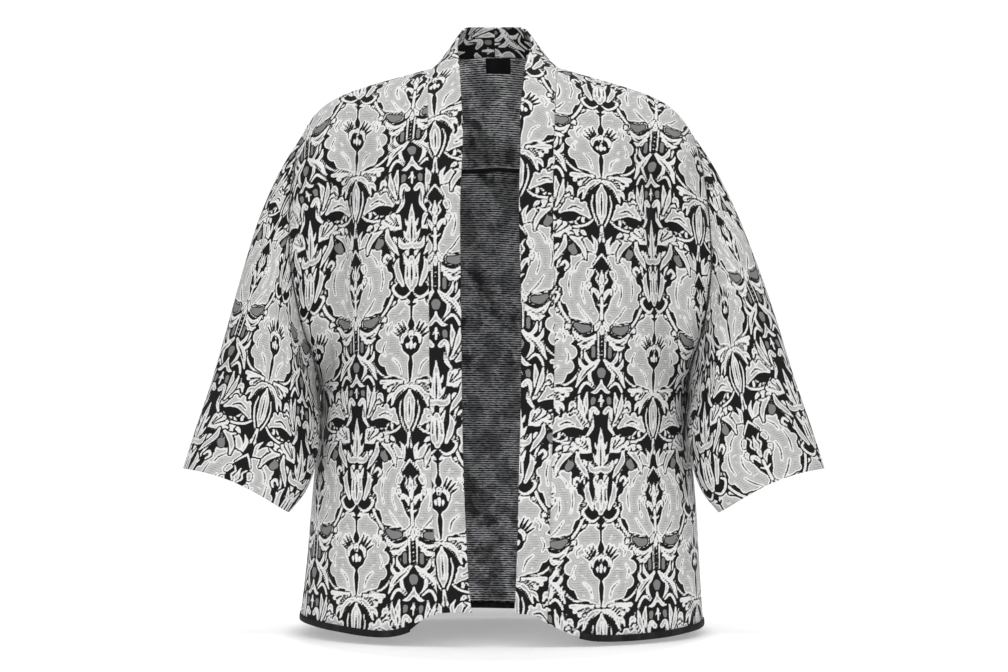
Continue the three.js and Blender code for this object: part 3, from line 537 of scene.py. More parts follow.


# ------------------------------------------------------------------ folds and creases, placed one by one
# Each is a soft line in front view (x, z in mm, in place), with its width and its depth; depth below 0 is a ridge.
# face: -1 the front, 1 the back, 0 both.
FOLDS = named(
    "x0 z0 x1 z1 width depth face",
    (-196, -210, -203, -372, 10, 3.4, -1),        # right front: drape line from the chest towards the sleeve
    (-212, -225, -216, -360, 9, -2.2, -1),
    (-223, -352, -230, -505, 13, 15.0, -1),        # where the arm folds the cloth in at the side
    (168, -185, 186, -368, 11, 3.0, -1),          # left front
    (184, -200, 203, -350, 9, -2.0, -1),
    (224, -345, 232, -440, 13, 4.5, -1),
    (-150, -470, -168, -700, 20, 2.6, -1),
    (-118, -430, -128, -640, 16, -1.8, -1),
    (140, -430, 152, -690, 22, 2.4, -1),
    (196, -520, 214, -705, 16, 3.2, -1),
    (-214, -530, -224, -700, 14, 3.2, -1),
    (108, -150, 118, -330, 18, 1.8, -1),
    (-112, -140, -120, -320, 18, 1.6, -1),
    (226, -95, 236, -180, 10, -2.4, -1),          # the seam stands a little at the dropped shoulder
    (-224, -95, -236, -185, 10, -2.2, -1),
    (-247, -232, -242, -262, 7, 4.0, -1),         # a short tuck under the right armhole
    (252, -240, 262, -300, 9, 3.0, -1),
    (-286, -170, -330, -300, 16, 3.0, -1),        # sleeves: soft folds down from the shoulder
    (-262, -300, -300, -430, 15, 3.2, -1),
    (-340, -330, -372, -470, 14, 2.6, -1),
    (-280, -430, -330, -540, 12, 2.4, -1),
    (-330, -250, -350, -330, 10, -2.0, -1),
    (290, -165, 330, -290, 16, 3.0, -1),
    (270, -290, 306, -420, 15, 3.2, -1),
    (345, -320, 380, -465, 14, 2.6, -1),
    (285, -440, 338, -545, 12, 2.4, -1),
    (325, -240, 352, -325, 10, -2.0, -1),
    (-60, -240, -70, -640, 26, 3.4, 1),           # back: long soft folds below the yoke
    (62, -260, 74, -660, 24, 3.0, 1),
    (4, -330, 2, -700, 30, -2.4, 1),
    (-150, -200, -176, -560, 22, 4.0, 1),
    (152, -210, 180, -580, 22, 3.8, 1),
    (-218, -340, -226, -520, 14, 5.0, 1),
    (220, -330, 228, -510, 14, 5.0, 1),
    (-120, -470, -132, -715, 20, 2.8, 1),
    (128, -480, 138, -715, 20, 2.6, 1),
    (-290, -180, -335, -330, 17, 3.2, 1),
    (-275, -350, -320, -500, 15, 3.0, 1),
    (292, -175, 338, -320, 17, 3.2, 1),
    (278, -340, 322, -490, 15, 3.0, 1),
    (-190, -110, -232, -160, 14, 2.4, 1),
    (192, -112, 234, -165, 14, 2.4, 1),
)


def folded(p, n):
    """The cloth's form with its folds: p and n are (rows, columns, 3)."""
    d = np.zeros(p.shape[:2])
    front = ease(0.15, -0.35, n[..., 1])
    for k in range(len(FOLDS["x0"])):
        f = {c: FOLDS[c][k] for c in FOLDS}
        e = np.array([f["x1"] - f["x0"], f["z1"] - f["z0"]])
        t = ((p[..., 0] - f["x0"]) * e[0] + (p[..., 2] - f["z0"]) * e[1]) / (e @ e)
        bend = 5 * np.sin(3.1 * t + k) * np.linalg.norm(e) / 160
        off = ((p[..., 0] - f["x0"]) * e[1] - (p[..., 2] - f["z0"]) * e[0]) / np.linalg.norm(e) + bend
        along = ease(-0.22, 0.22, t) * (1 - ease(0.74, 1.22, t))
        side = front if f["face"] < 0 else 1 - front if f["face"] > 0 else 1
        d -= f["depth"] * np.exp(-(off / f["width"]) ** 2) * along * side
    x, z = p[..., 0], p[..., 2]
    d += 0.55 * np.sin(x / 37 + 0.6 * np.sin(z / 61)) * np.sin(z / 83 + 1.1 + 0.4 * np.sin(x / 53))
    return p + pushed(n, d)


def pushed(n, d):
    """Near the sides the cloth moves front to back, so that the outline stays."""
    turn = ease(0.45, 0.9, np.abs(n[..., 0]))
    way = n * np.stack([1 - turn, np.ones_like(turn), 1 - 0.6 * turn], -1)
    way[..., 1] += np.sign(n[..., 1]) * 0.45 * turn
    return way * d[..., None]


def soften(a, ring):
    return np.roll(a, 1, 1) if ring else a


def normals(p, ring=False):
    if ring:
        across = np.roll(p, -1, 1) - np.roll(p, 1, 1)
    else:
        across = np.gradient(p, axis=1)
    n = np.cross(across, np.gradient(p, axis=0))
    return n / np.maximum(np.linalg.norm(n, axis=2, keepdims=True), 1e-9)


def grooved(p, n, sides, depth=0.7, width=3.2, ring=False):
    """The cloth turns in a little at its seams: sides names the edges top, bottom, start, end."""
    d = np.zeros(p.shape[:2])
    down = np.concatenate([np.zeros((1, p.shape[1])), np.cumsum(np.linalg.norm(np.diff(p, axis=0), axis=2), axis=0)])
    right = np.concatenate([np.zeros((p.shape[0], 1)), np.cumsum(np.linalg.norm(np.diff(p, axis=1), axis=2), axis=1)], axis=1)
    for name, dist in (("top", down), ("bottom", down[-1] - down), ("start", right), ("end", right[:, -1:] - right)):
        if name in sides:
            d = np.maximum(d, np.exp(-(dist / width) ** 2))
    return p - n * (d * depth)[..., None]


# ------------------------------------------------------------------ meshes
FIGURE = draw_figure()


def shell(name, p, n, u, v, wall, ring=False, slot_name="damask", groove=(), every=REVERSE_EVERY, doubled=False, black_top_band=False):
    """A closed cloth shell: the right side is dense, the wrong side has fewer points. p is in mm, in place."""
    rows, cols = p.shape[:2]
    flip = np.sum(n * outward(p, ring)) < 0
    if flip:
        n = -n
    p = folded(p, n)
    if groove:
        p = grooved(p, n, groove)
    leaf, mid = FIGURE.sample(u, v)
    jr, jc = np.arange(0, rows, every), np.arange(0, cols, every)
    inner = (p - n * wall)[np.ix_(jr, jc)]
    co = np.vstack([p.reshape(-1, 3), inner.reshape(-1, 3)]) / 1000
    pick = lambda a: np.concatenate([a.ravel(), a[np.ix_(jr, jc)].ravel()])
    R, C = len(jr), len(jc)
    base = rows * cols
    o = lambda j, i: j * cols + (i % cols)
    q = lambda j, i: base + j * C + (i % C)
    faces = []
    cells = cols if ring else cols - 1
    small = C if ring else C - 1
    j, i = np.meshgrid(np.arange(rows - 1), np.arange(cells), indexing="ij")
    quads = np.stack([o(j, i), o(j, i + 1), o(j + 1, i + 1), o(j + 1, i)], -1).reshape(-1, 4)
    j, i = np.meshgrid(np.arange(R - 1), np.arange(small), indexing="ij")
    under = np.stack([q(j, i), q(j + 1, i), q(j + 1, i + 1), q(j, i + 1)], -1).reshape(-1, 4)

    def zip_edge(outer, inn, out_first):
        for m in range(len(inn) - 1):
            part = outer[m * every:(m + 1) * every + 1]
            half = (len(part) - 1) // 2
            for a in range(len(part) - 1):
                tip = inn[m] if a < half else inn[m + 1]
                t = (part[a + 1], part[a], tip) if out_first else (part[a], part[a + 1], tip)
                faces.append(t)
            t = (part[half], inn[m], inn[m + 1]) if out_first else (part[half], inn[m + 1], inn[m])
            faces.append(t)

    ci, cj = np.arange(cols + (1 if ring else 0)), np.arange(C + (1 if ring else 0))
    zip_edge(o(0, ci), q(0, cj), True)
    zip_edge(o(rows - 1, ci), q(R - 1, cj), False)
    if not ring:
        zip_edge(o(np.arange(rows), 0), q(np.arange(R), 0), False)
        zip_edge(o(np.arange(rows), cols - 1), q(np.arange(R), C - 1), True)
    tris = np.array(faces)
    if flip:
        quads, under, tris = quads[:, ::-1], under[:, ::-1], tris[:, ::-1]
    mesh = bpy.data.meshes.new(name)
    loops = np.concatenate([quads.ravel(), under.ravel(), tris.ravel()]).astype(np.int32)
    starts = np.concatenate([np.arange(len(quads) + len(under)) * 4, (len(quads) + len(under)) * 4 + np.arange(len(tris)) * 3])
    mesh.vertices.add(len(co))
    mesh.vertices.foreach_set("co", co.astype(np.float32).ravel())
    mesh.loops.add(len(loops))
    mesh.loops.foreach_set("vertex_index", loops)
    mesh.polygons.add(len(starts))
    mesh.polygons.foreach_set("loop_start", starts.astype(np.int32))
    mesh.update(calc_edges=True)
    mesh.validate()
    mesh.polygons.foreach_set("use_smooth", np.ones(len(mesh.polygons), bool))
    under_side = np.full((R, C), 0.0 if doubled else 1.0)
    # the top rows of the back's wrong side are drawn as a flat black band
    if black_top_band:
        under_side[0], under_side[1] = 1.75, 1.28
    reverse = np.concatenate([np.zeros(rows * cols), under_side.ravel()])
    for attr, parts in (("cloth", (pick(u), pick(v), reverse)), ("figure", (pick(leaf), pick(mid), reverse))):
        a = mesh.attributes.new(attr, "FLOAT_VECTOR", "POINT")
        a.data.foreach_set("vector", np.stack(parts, -1).astype(np.float32).ravel())
    obj = bpy.data.objects.new(name, mesh)
    bpy.context.scene.collection.objects.link(obj)
    obj.data.materials.append(MATERIAL[slot_name])
    count = len(quads) * 2 + len(under) * 2 + len(tris)
    area = float(np.sum(np.linalg.norm(np.cross(p[1:, :-1] - p[:-1, :-1], p[:-1, 1:] - p[:-1, :-1]), axis=2))) / 1e6
    print(f"piece {name}: {count} triangles, {area:.4f} square metres of cloth")
    return obj


def outward(p, ring):
    c = np.zeros_like(p)
    if ring:
        c[:] = p.mean(1, keepdims=True)
    else:
        c[..., 2] = p[..., 2]
    return p - c


def place(obj, node):
    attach(obj, "root")
    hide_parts(node)
    return obj


def steps(length, k=REVERSE_EVERY):
    """How many points a run of cloth of that length gets, so that every k-th lies at both ends."""
    return int(math.ceil(length / SPACING / k)) * k + 1


def run_across(p):
    return np.concatenate([np.zeros((p.shape[0], 1)), np.cumsum(np.linalg.norm(np.diff(p, axis=1), axis=2), axis=1)], axis=1)


def run_up(p):
    s = np.concatenate([np.zeros((1, p.shape[1])), np.cumsum(np.linalg.norm(np.diff(p, axis=0), axis=2), axis=0)])
    return s[-1:] - s


def at_line(p, s, x):
    """The run across each row to where the row crosses x."""
    out = []
    for row, run in zip(p[..., 0], s):
        k = np.argsort(row)
        out.append(np.interp(x, row[k], run[k]))
    return np.array(out)[:, None]


# ------------------------------------------------------------------ materials
def node_tree(name):
    m = bpy.data.materials.new(name)
    m.use_nodes = True
    t = m.node_tree
    t.nodes.clear()
    return m, t


class Nodes:
    def __init__(self, tree):
        self.t = tree

    def math(self, op, a, b=None, c=None, clamp=False):
        n = self.t.nodes.new("ShaderNodeMath")
        n.operation = op
        n.use_clamp = clamp
        for k, x in enumerate((a, b, c)):
            if x is None:
                continue
            if isinstance(x, (int, float)):
                n.inputs[k].default_value = x
            else:
                self.t.links.new(x, n.inputs[k])
        return n.outputs[0]

    def ramp(self, x, low, high):
        """0 below low, 1 above high, smooth between."""
        n = self.t.nodes.new("ShaderNodeMapRange")
        n.interpolation_type = "SMOOTHSTEP"
        n.inputs["From Min"].default_value = min(low, high)
        n.inputs["From Max"].default_value = max(low, high)
        n.inputs["To Min"].default_value = 0.0 if low < high else 1.0
        n.inputs["To Max"].default_value = 1.0 if low < high else 0.0
        self.t.links.new(x, n.inputs["Value"])
        return n.outputs["Result"]

    def blend(self, f, a, b):
        n = self.t.nodes.new("ShaderNodeMix")
        n.data_type = "FLOAT"
        for k, x in (("Factor", f), ("A", a), ("B", b)):
            socket = [s for s in n.inputs if s.name == k and s.type == "VALUE"][0]
            if isinstance(x, (int, float)):
                socket.default_value = x
            else:
                self.t.links.new(x, socket)
        return n.outputs[0]

    def vector(self, name):
        n = self.t.nodes.new("ShaderNodeAttribute")
        n.attribute_type = "GEOMETRY"
        n.attribute_name = name
        s = self.t.nodes.new("ShaderNodeSeparateXYZ")
        self.t.links.new(n.outputs["Vector"], s.inputs[0])
        return n.outputs["Vector"], s.outputs[0], s.outputs[1], s.outputs[2]

    def noise(self, vector, sx, sy, detail=1.0, rough=0.5):
        m = self.t.nodes.new("ShaderNodeMapping")
        m.inputs["Scale"].default_value = (sx, sy, 1)
        self.t.links.new(vector, m.inputs["Vector"])
        n = self.t.nodes.new("ShaderNodeTexNoise")
        n.noise_dimensions = "2D"
        n.inputs["Scale"].default_value = 1.0
        n.inputs["Detail"].default_value = detail
        n.inputs["Roughness"].default_value = rough
        self.t.links.new(m.outputs[0], n.inputs["Vector"])
        return n.outputs[0]


GROUND = 0.0040              # black yarn
LIGHT = 0.735                 # the light outlines
FILL = 0.51                  # the ribbed fill of leaves
RIB = 0.27                   # its darker ribs
GREY = 0.20                  # flat grey fills
PICK = 2.9                   # mm between ribs


def damask():
    m, t = node_tree("damask")
    n = Nodes(t)
    cloth, u, v, _ = n.vector("cloth")
    _, leaf, mid, reverse = n.vector("figure")
    slub = n.noise(cloth, 0.16, 0.9, 2.0)          # unevenness along the weft
    blot = n.noise(cloth, 0.045, 0.05, 2.0)
    tick = n.noise(cloth, 0.34, 0.75, 1.0)
    steps_ = n.math("MULTIPLY", n.math("SUBTRACT", tick, 0.5), 0.9)
    leaf = n.math("ADD", leaf, n.math("ADD", steps_, 0.16))
    inside = n.ramp(leaf, 0.28, -0.28)
    deep = n.ramp(leaf, -1.25, -2.0)
    wide = n.ramp(leaf, -2.6, -5.0)
    wave = n.math("SINE", n.math("ADD", n.math("MULTIPLY", v, 2 * math.pi / PICK), n.math("MULTIPLY", slub, 2.2)))
    rib = n.math("MULTIPLY_ADD", wave, 0.5, 0.5)
    patch = n.ramp(slub, 0.36, 0.62)
    dark = n.math("MULTIPLY", rib, n.blend(wide, 0.25, n.blend(patch, 0.55, 1.0)))
    fill = n.blend(dark, FILL, RIB)
    bright = n.ramp(n.noise(cloth, 0.11, 0.2, 2.0), 0.60, 0.70)
    fill = n.blend(n.math("MULTIPLY", bright, n.math("MULTIPLY", wide, 0.75)), fill, LIGHT)
    light = n.blend(deep, LIGHT, fill)
    line = n.math("SUBTRACT", 1.0, n.math("DIVIDE", n.math("ABSOLUTE", n.math("ADD", leaf, 1.6)), 0.5), clamp=True)
    line = n.math("MULTIPLY", line, n.ramp(blot, 0.40, 0.56))
    light = n.blend(n.math("MULTIPLY", line, 0.62), light, 0.05)
    ground = n.blend(n.math("MULTIPLY", rib, 0.5), GROUND, GROUND * 1.8)
    face = n.blend(inside, ground, light)
    grey = n.blend(n.math("MULTIPLY", rib, 0.3), GREY, GREY * 0.7)
    face = n.blend(n.ramp(n.math("ADD", mid, steps_), 0.25, -0.25), face, grey)
    # the wrong side: black, with fine light weft lines that break up where the right side is light
    thin = n.ramp(n.math("SINE", n.math("ADD", n.math("MULTIPLY", v, 2 * math.pi / 3.09), n.math("MULTIPLY", slub, 4.2))), -0.25, 0.5)
    streak = n.noise(cloth, 0.30, 0.55, 2.0)
    ghost = n.math("MULTIPLY", n.ramp(leaf, -5.0, 2.0), 0.30)
    mottle = n.ramp(n.math("ADD", ghost, n.blend(0.35, blot, streak)), 0.42, 0.72)
    patch = n.ramp(n.noise(cloth, 0.034, 0.026, 4.0), 0.42, 0.56)
    mottle = n.math("MULTIPLY", n.blend(mottle, 0.2, 1.0), n.blend(patch, 0.5, 1.0))
    back = n.blend(n.math("MULTIPLY", thin, mottle), 0.014, 1.0)
    back = n.blend(n.ramp(reverse, 1.28, 1.5), back, 0.012)   # a flat black band along the top of the back's wrong side, under the yoke seam
    side = n.ramp(reverse, 0.45, 0.55)
    value = n.blend(side, face, back)
    colour = t.nodes.new("ShaderNodeCombineColor")
    t.links.new(value, colour.inputs[0])
    t.links.new(n.math("MULTIPLY", value, n.blend(side, 1.0, 1.015)), colour.inputs[1])
    t.links.new(n.math("MULTIPLY", value, n.blend(side, 0.985, 1.03)), colour.inputs[2])
    height = n.math("ADD", n.math("MULTIPLY", n.ramp(leaf, 0.6, -0.9), 0.6), n.math("MULTIPLY", rib, 0.35))
    bump = t.nodes.new("ShaderNodeBump")
    bump.inputs["Strength"].default_value = 0.5
    bump.inputs["Distance"].default_value = 0.0005
    t.links.new(height, bump.inputs["Height"])
    b = t.nodes.new("ShaderNodeBsdfPrincipled")
    b.inputs["Roughness"].default_value = 0.66
    b.inputs["Specular IOR Level"].default_value = 0.14
    b.inputs["Sheen Weight"].default_value = 0.03
    b.inputs["Sheen Roughness"].default_value = 0.45
    t.links.new(colour.outputs[0], b.inputs["Base Color"])
    t.links.new(bump.outputs[0], b.inputs["Normal"])
    out = t.nodes.new("ShaderNodeOutputMaterial")
    t.links.new(b.outputs[0], out.inputs["Surface"])
    return m


def glowing_floor_painted_shadow():
    """White floor that glows; its glow is painted lower under and behind the hem as the hem's soft shadow, and higher
    away from it as painted light over the sleeves' shadows.
    """
    m, t = node_tree("floor")
    n = Nodes(t)
    part = t.nodes.new("ShaderNodeSeparateXYZ")
    t.links.new(t.nodes.new("ShaderNodeTexCoord").outputs["Object"], part.inputs[0])
    x, y = (n.math("DIVIDE", part.outputs[k], r) for k, r in ((0, 0.255), (1, 0.25)))
    away = n.math("ADD", n.math("MULTIPLY", x, x), n.math("MULTIPLY", y, y))
    b = t.nodes.new("ShaderNodeBsdfPrincipled")
    b.inputs["Base Color"].default_value = (0.76, 0.76, 0.77, 1)
    b.inputs["Roughness"].default_value = 0.9
    b.inputs["Specular IOR Level"].default_value = 0.1
    b.inputs["Emission Color"].default_value = (1, 1, 1, 1)
    # painted shadow and painted light in the floor's glow: lower under the hem, lower still behind it, higher away from
    # it
    near = n.blend(n.ramp(y, 0.45, 0.75), *FLOOR_GLOW_PAINTED_SHADE[:2])
    t.links.new(n.blend(n.ramp(away, 0.92, 1.3), near, FLOOR_GLOW_PAINTED_SHADE[2]), b.inputs["Emission Strength"])
    out = t.nodes.new("ShaderNodeOutputMaterial")
    t.links.new(b.outputs[0], out.inputs["Surface"])
    return m


def tape(name, value, rough, pitch, sheen):
    """A plain black tape: twill lines, uneven yarn and a little wear on the high threads."""
    m, t = node_tree(name)
    n = Nodes(t)
    where = t.nodes.new("ShaderNodeTexCoord").outputs["Object"]
    part = t.nodes.new("ShaderNodeSeparateXYZ")
    t.links.new(where, part.inputs[0])
    x, y, z = part.outputs
    run = n.math("ADD", n.math("ADD", x, y), z)
    warp = n.math("MULTIPLY_ADD", n.math("SINE", n.math("MULTIPLY", run, 2 * math.pi / pitch)), 0.5, 0.5)
    weft = n.math("MULTIPLY_ADD", n.math("SINE", n.math("MULTIPLY", n.math("SUBTRACT", z, n.math("ADD", x, y)), math.pi / pitch)), 0.5, 0.5)
    yarn = n.noise(where, 900, 900, 2.0)
    worn = n.noise(where, 60, 60, 3.0)
    high = n.math("MULTIPLY", n.math("MULTIPLY_ADD", weft, 0.4, 0.6), warp)
    tone = n.math("MULTIPLY", n.math("ADD", n.math("MULTIPLY_ADD", high, 1.1, 0.4), n.ramp(worn, 0.45, 0.75)), value)
    tone = n.math("MULTIPLY", tone, n.math("MULTIPLY_ADD", yarn, 0.8, 0.6))
    colour = t.nodes.new("ShaderNodeCombineColor")
    for k in range(3):
        t.links.new(tone, colour.inputs[k])
    bump = t.nodes.new("ShaderNodeBump")
    bump.inputs["Strength"].default_value = 0.6
    bump.inputs["Distance"].default_value = 0.0003
    t.links.new(n.math("ADD", high, n.math("MULTIPLY", yarn, 0.3)), bump.inputs["Height"])
    b = t.nodes.new("ShaderNodeBsdfPrincipled")
    b.inputs["Roughness"].default_value = rough
    b.inputs["Specular IOR Level"].default_value = 0.15
    b.inputs["Sheen Weight"].default_value = sheen
    t.links.new(colour.outputs[0], b.inputs["Base Color"])
    t.links.new(bump.outputs[0], b.inputs["Normal"])
    out = t.nodes.new("ShaderNodeOutputMaterial")
    t.links.new(b.outputs[0], out.inputs["Surface"])
    return m


MATERIAL = {"damask": damask(), "binding": tape("binding", 0.011, 0.75, 0.0016, 0.03), "label": tape("label", 0.006, 0.6, 0.0009, 0.02)}

# ------------------------------------------------------------------ the pieces
# Where a column's mirror line lies on each piece: x in place for the fronts, and the height of a flower's middle
# above the level hem; for the sleeves the run round from the underarm and the run up from the cuff.
LINES = named("x up", (129, 86), (-178, 97))
HEMS_UP = 0.0

for side, line in (("left", 0), ("right", 1)):
    rows, cols = steps(735), steps(262)
    p = lean(front_surface(side, np.linspace(0, 759, rows)[:, None], np.linspace(0, 1, cols)[None, :]), side)
    s = run_across(p)
    u = s - at_line(p, s, LINES["x"][line])
    up = run_up(p) + (p[-1:, :, 2] - HEM_Z)
    v = LINES["up"][line] - up
    obj = shell("front_" + side + "_cloth", p, normals(p), u, v, WALL, groove=("top", "start", "end"))
    place(obj, "front_" + side)

for side in ("left", "right"):
    around = steps(800) - 1
    rows = steps(470)
    p = lean(sleeve_surface(side, np.linspace(0, 1, rows)[:, None], around), side, 0.0)
    ring = np.concatenate([p, p[:, :1]], axis=1)
    s = run_across(ring)[:, :-1]
    total = run_across(ring)[:, -1:]
    u = s - total * 0.745
    v = SLEEVE_UP[side] - run_up(p)
    obj = shell("sleeve_" + side + "_cloth", p, normals(p, True), u, v, WALL, ring=True, groove=("top",))
    place(obj, "sleeve_" + side)


def both_sides(make):
    """A piece over the middle of the back, from the left armhole or side seam to the right one."""
    left, right = lean(make("left"), "left"), lean(make("right"), "right")
    return np.concatenate([left[:, ::-1], right[:, 1:]], axis=1)


half = (steps(560) - 1) // 2
half += (-half) % REVERSE_EVERY
q = np.linspace(0, 1, half + 1)[None, :]
p = both_sides(lambda side: back_surface(side, np.linspace(150, 759, steps(605))[:, None], q))
s = run_across(p)
v_up = run_up(p)
obj = shell("back_cloth", p, normals(p), s - s[:, half:half + 1], 86 - v_up, WALL, groove=("top", "start", "end"), black_top_band=True)
place(obj, "back")
back_up = v_up[0].copy()

p = both_sides(lambda side: yoke_surface(side, np.linspace(0, 1, steps(190))[:, None], q))
s = run_across(p)
obj = shell("back_yoke_cloth", p, normals(p), s - s[:, half:half + 1] + COLUMN * UNIT_U, 86 - back_up[None, :] - run_up(p) - 60, WALL,
            groove=("top", "bottom", "start", "end"))
place(obj, "back_yoke")

for side in ("left", "right"):
    f = np.linspace(0, 1, steps(44))[None, :]
    front_run = np.linspace(759, 0, steps(740))
    run = np.concatenate([front_run, -np.linspace(0, 1, steps(112))[1:]])[:, None]
    p = lean(band_surface(side, run, f), side)
    s = run_across(p)
    up = run_up(p)
    up = up[:1] - up
    obj = shell("band_" + side + "_cloth", p, normals(p), s + BAND_LINE[side][0], BAND_LINE[side][1] - up.mean(1, keepdims=True) + 0 * s, BAND_WALL,
                groove=("start", "end"), every=1, doubled=True)
    place(obj, "band_" + side)


# ------------------------------------------------------------------ hem binding, label
def hem_line():
    fl = lean(front_surface("left", np.array([[745.0], [759.0]]), np.linspace(0, 1, 90)[None, :]), "left")
    fr = lean(front_surface("right", np.array([[745.0], [759.0]]), np.linspace(0, 1, 90)[None, :]), "right")
    qb = np.linspace(0, 1, 110)[None, :]
    bk = both_sides(lambda side: back_surface(side, np.array([[745.0], [759.0]]), qb))
    top = np.vstack([fr[0][10:], bk[0][::-1][1:-1], fl[0][:9:-1]])
    low = np.vstack([fr[1][10:], bk[1][::-1][1:-1], fl[1][:9:-1]])
    return top, low


top, low = hem_line()
keep = np.concatenate([[True], np.linalg.norm(np.diff(low, axis=0), axis=1) > 0.3])
top, low = top[keep], low[keep]
up = top - low
up /= np.linalg.norm(up, axis=1, keepdims=True)
along = np.gradient(low, axis=0)
out = np.cross(up, along)
out /= np.linalg.norm(out, axis=1, keepdims=True)
if np.sum(out * (low - low.mean(0)) * [1, 1, 0]) < 0:
    out = -out
half_wall = WALL / 2 + BINDING_WALL + 0.3
PROFILE = [(half_wall * c, -BINDING_FALL + half_wall * 0.9 - half_wall * 0.9 * k) for c, k in
           [(math.cos(a), math.sin(a)) for a in np.linspace(0, math.pi, 7)]]
PROFILE = [(half_wall, BINDING_LAP), (half_wall + 0.25, BINDING_LAP * 0.5)] + PROFILE + [(-half_wall - 0.25, BINDING_LAP * 0.5), (-half_wall, BINDING_LAP)]
centre = low - out * WALL / 2
ring_pts = np.array([centre + out * a + up * h for a, h in PROFILE]).transpose(1, 0, 2)
ring_pts += out[:, None, :] * (0.25 * np.sin(lengths(low) / 9.0))[:, None, None]
m, k = ring_pts.shape[:2]
verts = ring_pts.reshape(-1, 3) / 1000
faces = []
for j in range(m - 1):
    for i in range(k):
        a, b = j * k + i, j * k + (i + 1) % k
        faces.append((a, b, b + k, a + k))
faces.append(tuple(range(k))[::-1])
faces.append(tuple((m - 1) * k + i for i in range(k)))
mesh = bpy.data.meshes.new("hem_binding")
mesh.from_pydata(verts.tolist(), [], faces)
mesh.polygons.foreach_set("use_smooth", np.ones(len(mesh.polygons), bool))
binding = bpy.data.objects.new("hem_binding_cloth", mesh)
bpy.context.scene.collection.objects.link(binding)
binding.data.materials.append(MATERIAL["binding"])
print("binding runs", round(lengths(low)[-1]), "mm")
place(binding, "hem_binding")

# The label: a bare woven tab, its ends turned under, sewn to the yoke below the neck seam.
LABEL_WIDTH, LABEL_SHIFT, LABEL_WALL, LABEL_T = 33.0, 4.0, 0.8, (0.0042, 0.1592)


def label_surface():
    t = np.linspace(LABEL_T[0], LABEL_T[1], 25)[:, None]
    q = np.linspace(0, 0.12, 60)[None, :]
    p = both_sides(lambda side: yoke_surface(side, t, q))
    n = normals(p)
    if np.sum(n[..., 1]) > 0:
        n = -n
    p = p + n * (WALL + 0.6)
    middle = p[:, 59:60, 0]
    want = middle + LABEL_SHIFT + np.linspace(-LABEL_WIDTH / 2, LABEL_WIDTH / 2, 41)[None, :]
    rows = []
    for row, x in zip(p, want):
        k = np.argsort(row[:, 0])
        rows.append(np.stack([np.interp(x, row[k, 0], row[k, i]) for i in range(3)], -1))
    p = np.array(rows)
    n = normals(p)
    return p, (-n if np.sum(n[..., 1]) > 0 else n)


p, n = label_surface()
R, C = p.shape[:2]
a, b = np.linspace(0, 1, R)[:, None], np.linspace(0, 1, C)[None, :]
rim = np.minimum(np.minimum(a, 1 - a) * 20, np.minimum(b, 1 - b) * LABEL_WIDTH)
lift = 0.55 * ease(0, 0.9, rim) + 0.28 * (1 - ease(1.5, 2.6, np.minimum(b, 1 - b) * LABEL_WIDTH)) - 0.16 * np.exp(-((rim - 3.0) / 0.35) ** 2)
face = p + n * (lift + 0.1)[..., None]
under = p - n * 0.1
co = np.vstack([face.reshape(-1, 3), under.reshape(-1, 3)]) / 1000
idx = np.arange(R * C).reshape(R, C)
quads = [(idx[j, i], idx[j, i + 1], idx[j + 1, i + 1], idx[j + 1, i]) for j in range(R - 1) for i in range(C - 1)]
edge = list(idx[0]) + list(idx[1:, -1]) + list(idx[-1, -2::-1]) + list(idx[-2:0:-1, 0])
faces = quads + [tuple(k + R * C for k in q[::-1]) for q in quads]
faces += [(edge[k], edge[k] + R * C, edge[(k + 1) % len(edge)] + R * C, edge[(k + 1) % len(edge)]) for k in range(len(edge))]
mesh = bpy.data.meshes.new("label")
mesh.from_pydata(co.tolist(), [], [tuple(int(i) for i in f) for f in faces])
mesh.polygons.foreach_set("use_smooth", np.ones(len(mesh.polygons), bool))
mesh.validate()
tab = bpy.data.objects.new("label_cloth", mesh)
bpy.context.scene.collection.objects.link(tab)
tab.data.materials.append(MATERIAL["label"])
place(tab, "label")

# ------------------------------------------------------------------ floor, light, camera
def add_mesh(name, verts, faces, material, smooth=False):
    me = bpy.data.meshes.new(name)
    me.from_pydata(verts, [], faces)
    me.polygons.foreach_set("use_smooth", np.full(len(me.polygons), smooth))
    ob = bpy.data.objects.new(name, me)
    bpy.context.scene.collection.objects.link(ob)
    ob.data.materials.append(material)
    return ob


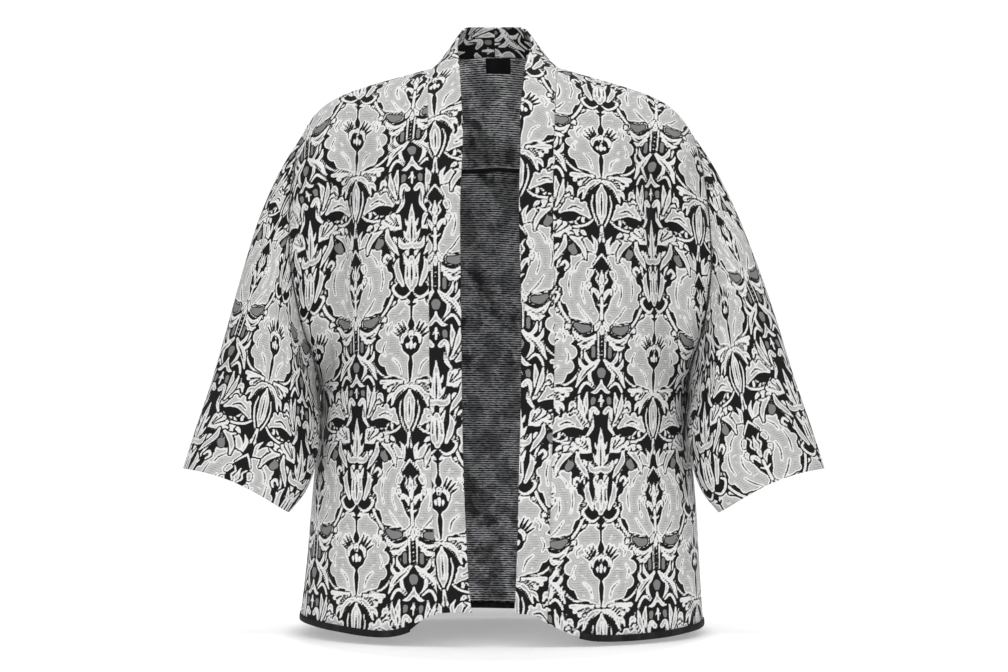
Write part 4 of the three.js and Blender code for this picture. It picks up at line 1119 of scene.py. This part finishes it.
FLOOR_Z = -0.741
verts = [(FLOOR_RADIUS * math.cos(a), FLOOR_RADIUS * math.sin(a), FLOOR_Z) for a in np.linspace(0, 2 * math.pi, 97)[:-1]]
add_mesh("floor", verts, [tuple(range(96))], glowing_floor_painted_shadow(), True)


def lamp(name, where, aim, size, power):
    l = bpy.data.lights.new(name, "AREA")
    l.shape = "RECTANGLE"
    l.size, l.size_y = size
    l.energy = power
    o = bpy.data.objects.new(name, l)
    bpy.context.scene.collection.objects.link(o)
    o.location = where
    o.rotation_mode = "QUATERNION"
    o.rotation_quaternion = (Vector(aim) - Vector(where)).to_track_quat("-Z", "Y")
    return o


for row in LAMPS:
    lamp(*row)

world = bpy.data.worlds.new("studio")
bpy.context.scene.world = world
world.use_nodes = True
tree = world.node_tree
tree.nodes.clear()
room, seen, pick = [tree.nodes.new(n) for n in ("ShaderNodeBackground", "ShaderNodeBackground", "ShaderNodeMixShader")]
for node, strength in ((room, WORLD), (seen, 1.05)):
    node.inputs["Color"].default_value = (1, 1, 1, 1)
    node.inputs["Strength"].default_value = strength
ray, world_out = tree.nodes.new("ShaderNodeLightPath"), tree.nodes.new("ShaderNodeOutputWorld")
tree.links.new(ray.outputs["Is Camera Ray"], pick.inputs[0])
tree.links.new(room.outputs[0], pick.inputs[1])
tree.links.new(seen.outputs[0], pick.inputs[2])
tree.links.new(pick.outputs[0], world_out.inputs["Surface"])

bpy.context.scene.view_settings.view_transform = "Standard"
bpy.context.scene.view_settings.look = "None"

# The camera looks level along +Y. At its distance the picture is 1008 x 1.3 mm wide in the plane y = 0.
CAMERA_X, CAMERA_Y, CAMERA_Z = 0.0078, -2.8, -0.356
PICTURE_WIDTH = 1.3104
camera = bpy.data.cameras.new("camera")
camera.sensor_width = 36
camera.lens = 36 * (-CAMERA_Y) / PICTURE_WIDTH
camera.clip_start, camera.clip_end = 0.1, 60
eye = bpy.data.objects.new("camera", camera)
bpy.context.scene.collection.objects.link(eye)
eye.location = (CAMERA_X, CAMERA_Y, CAMERA_Z)
eye.rotation_euler = (math.radians(90), 0, 0)
bpy.context.scene.camera = eye

bpy.context.view_layer.update()
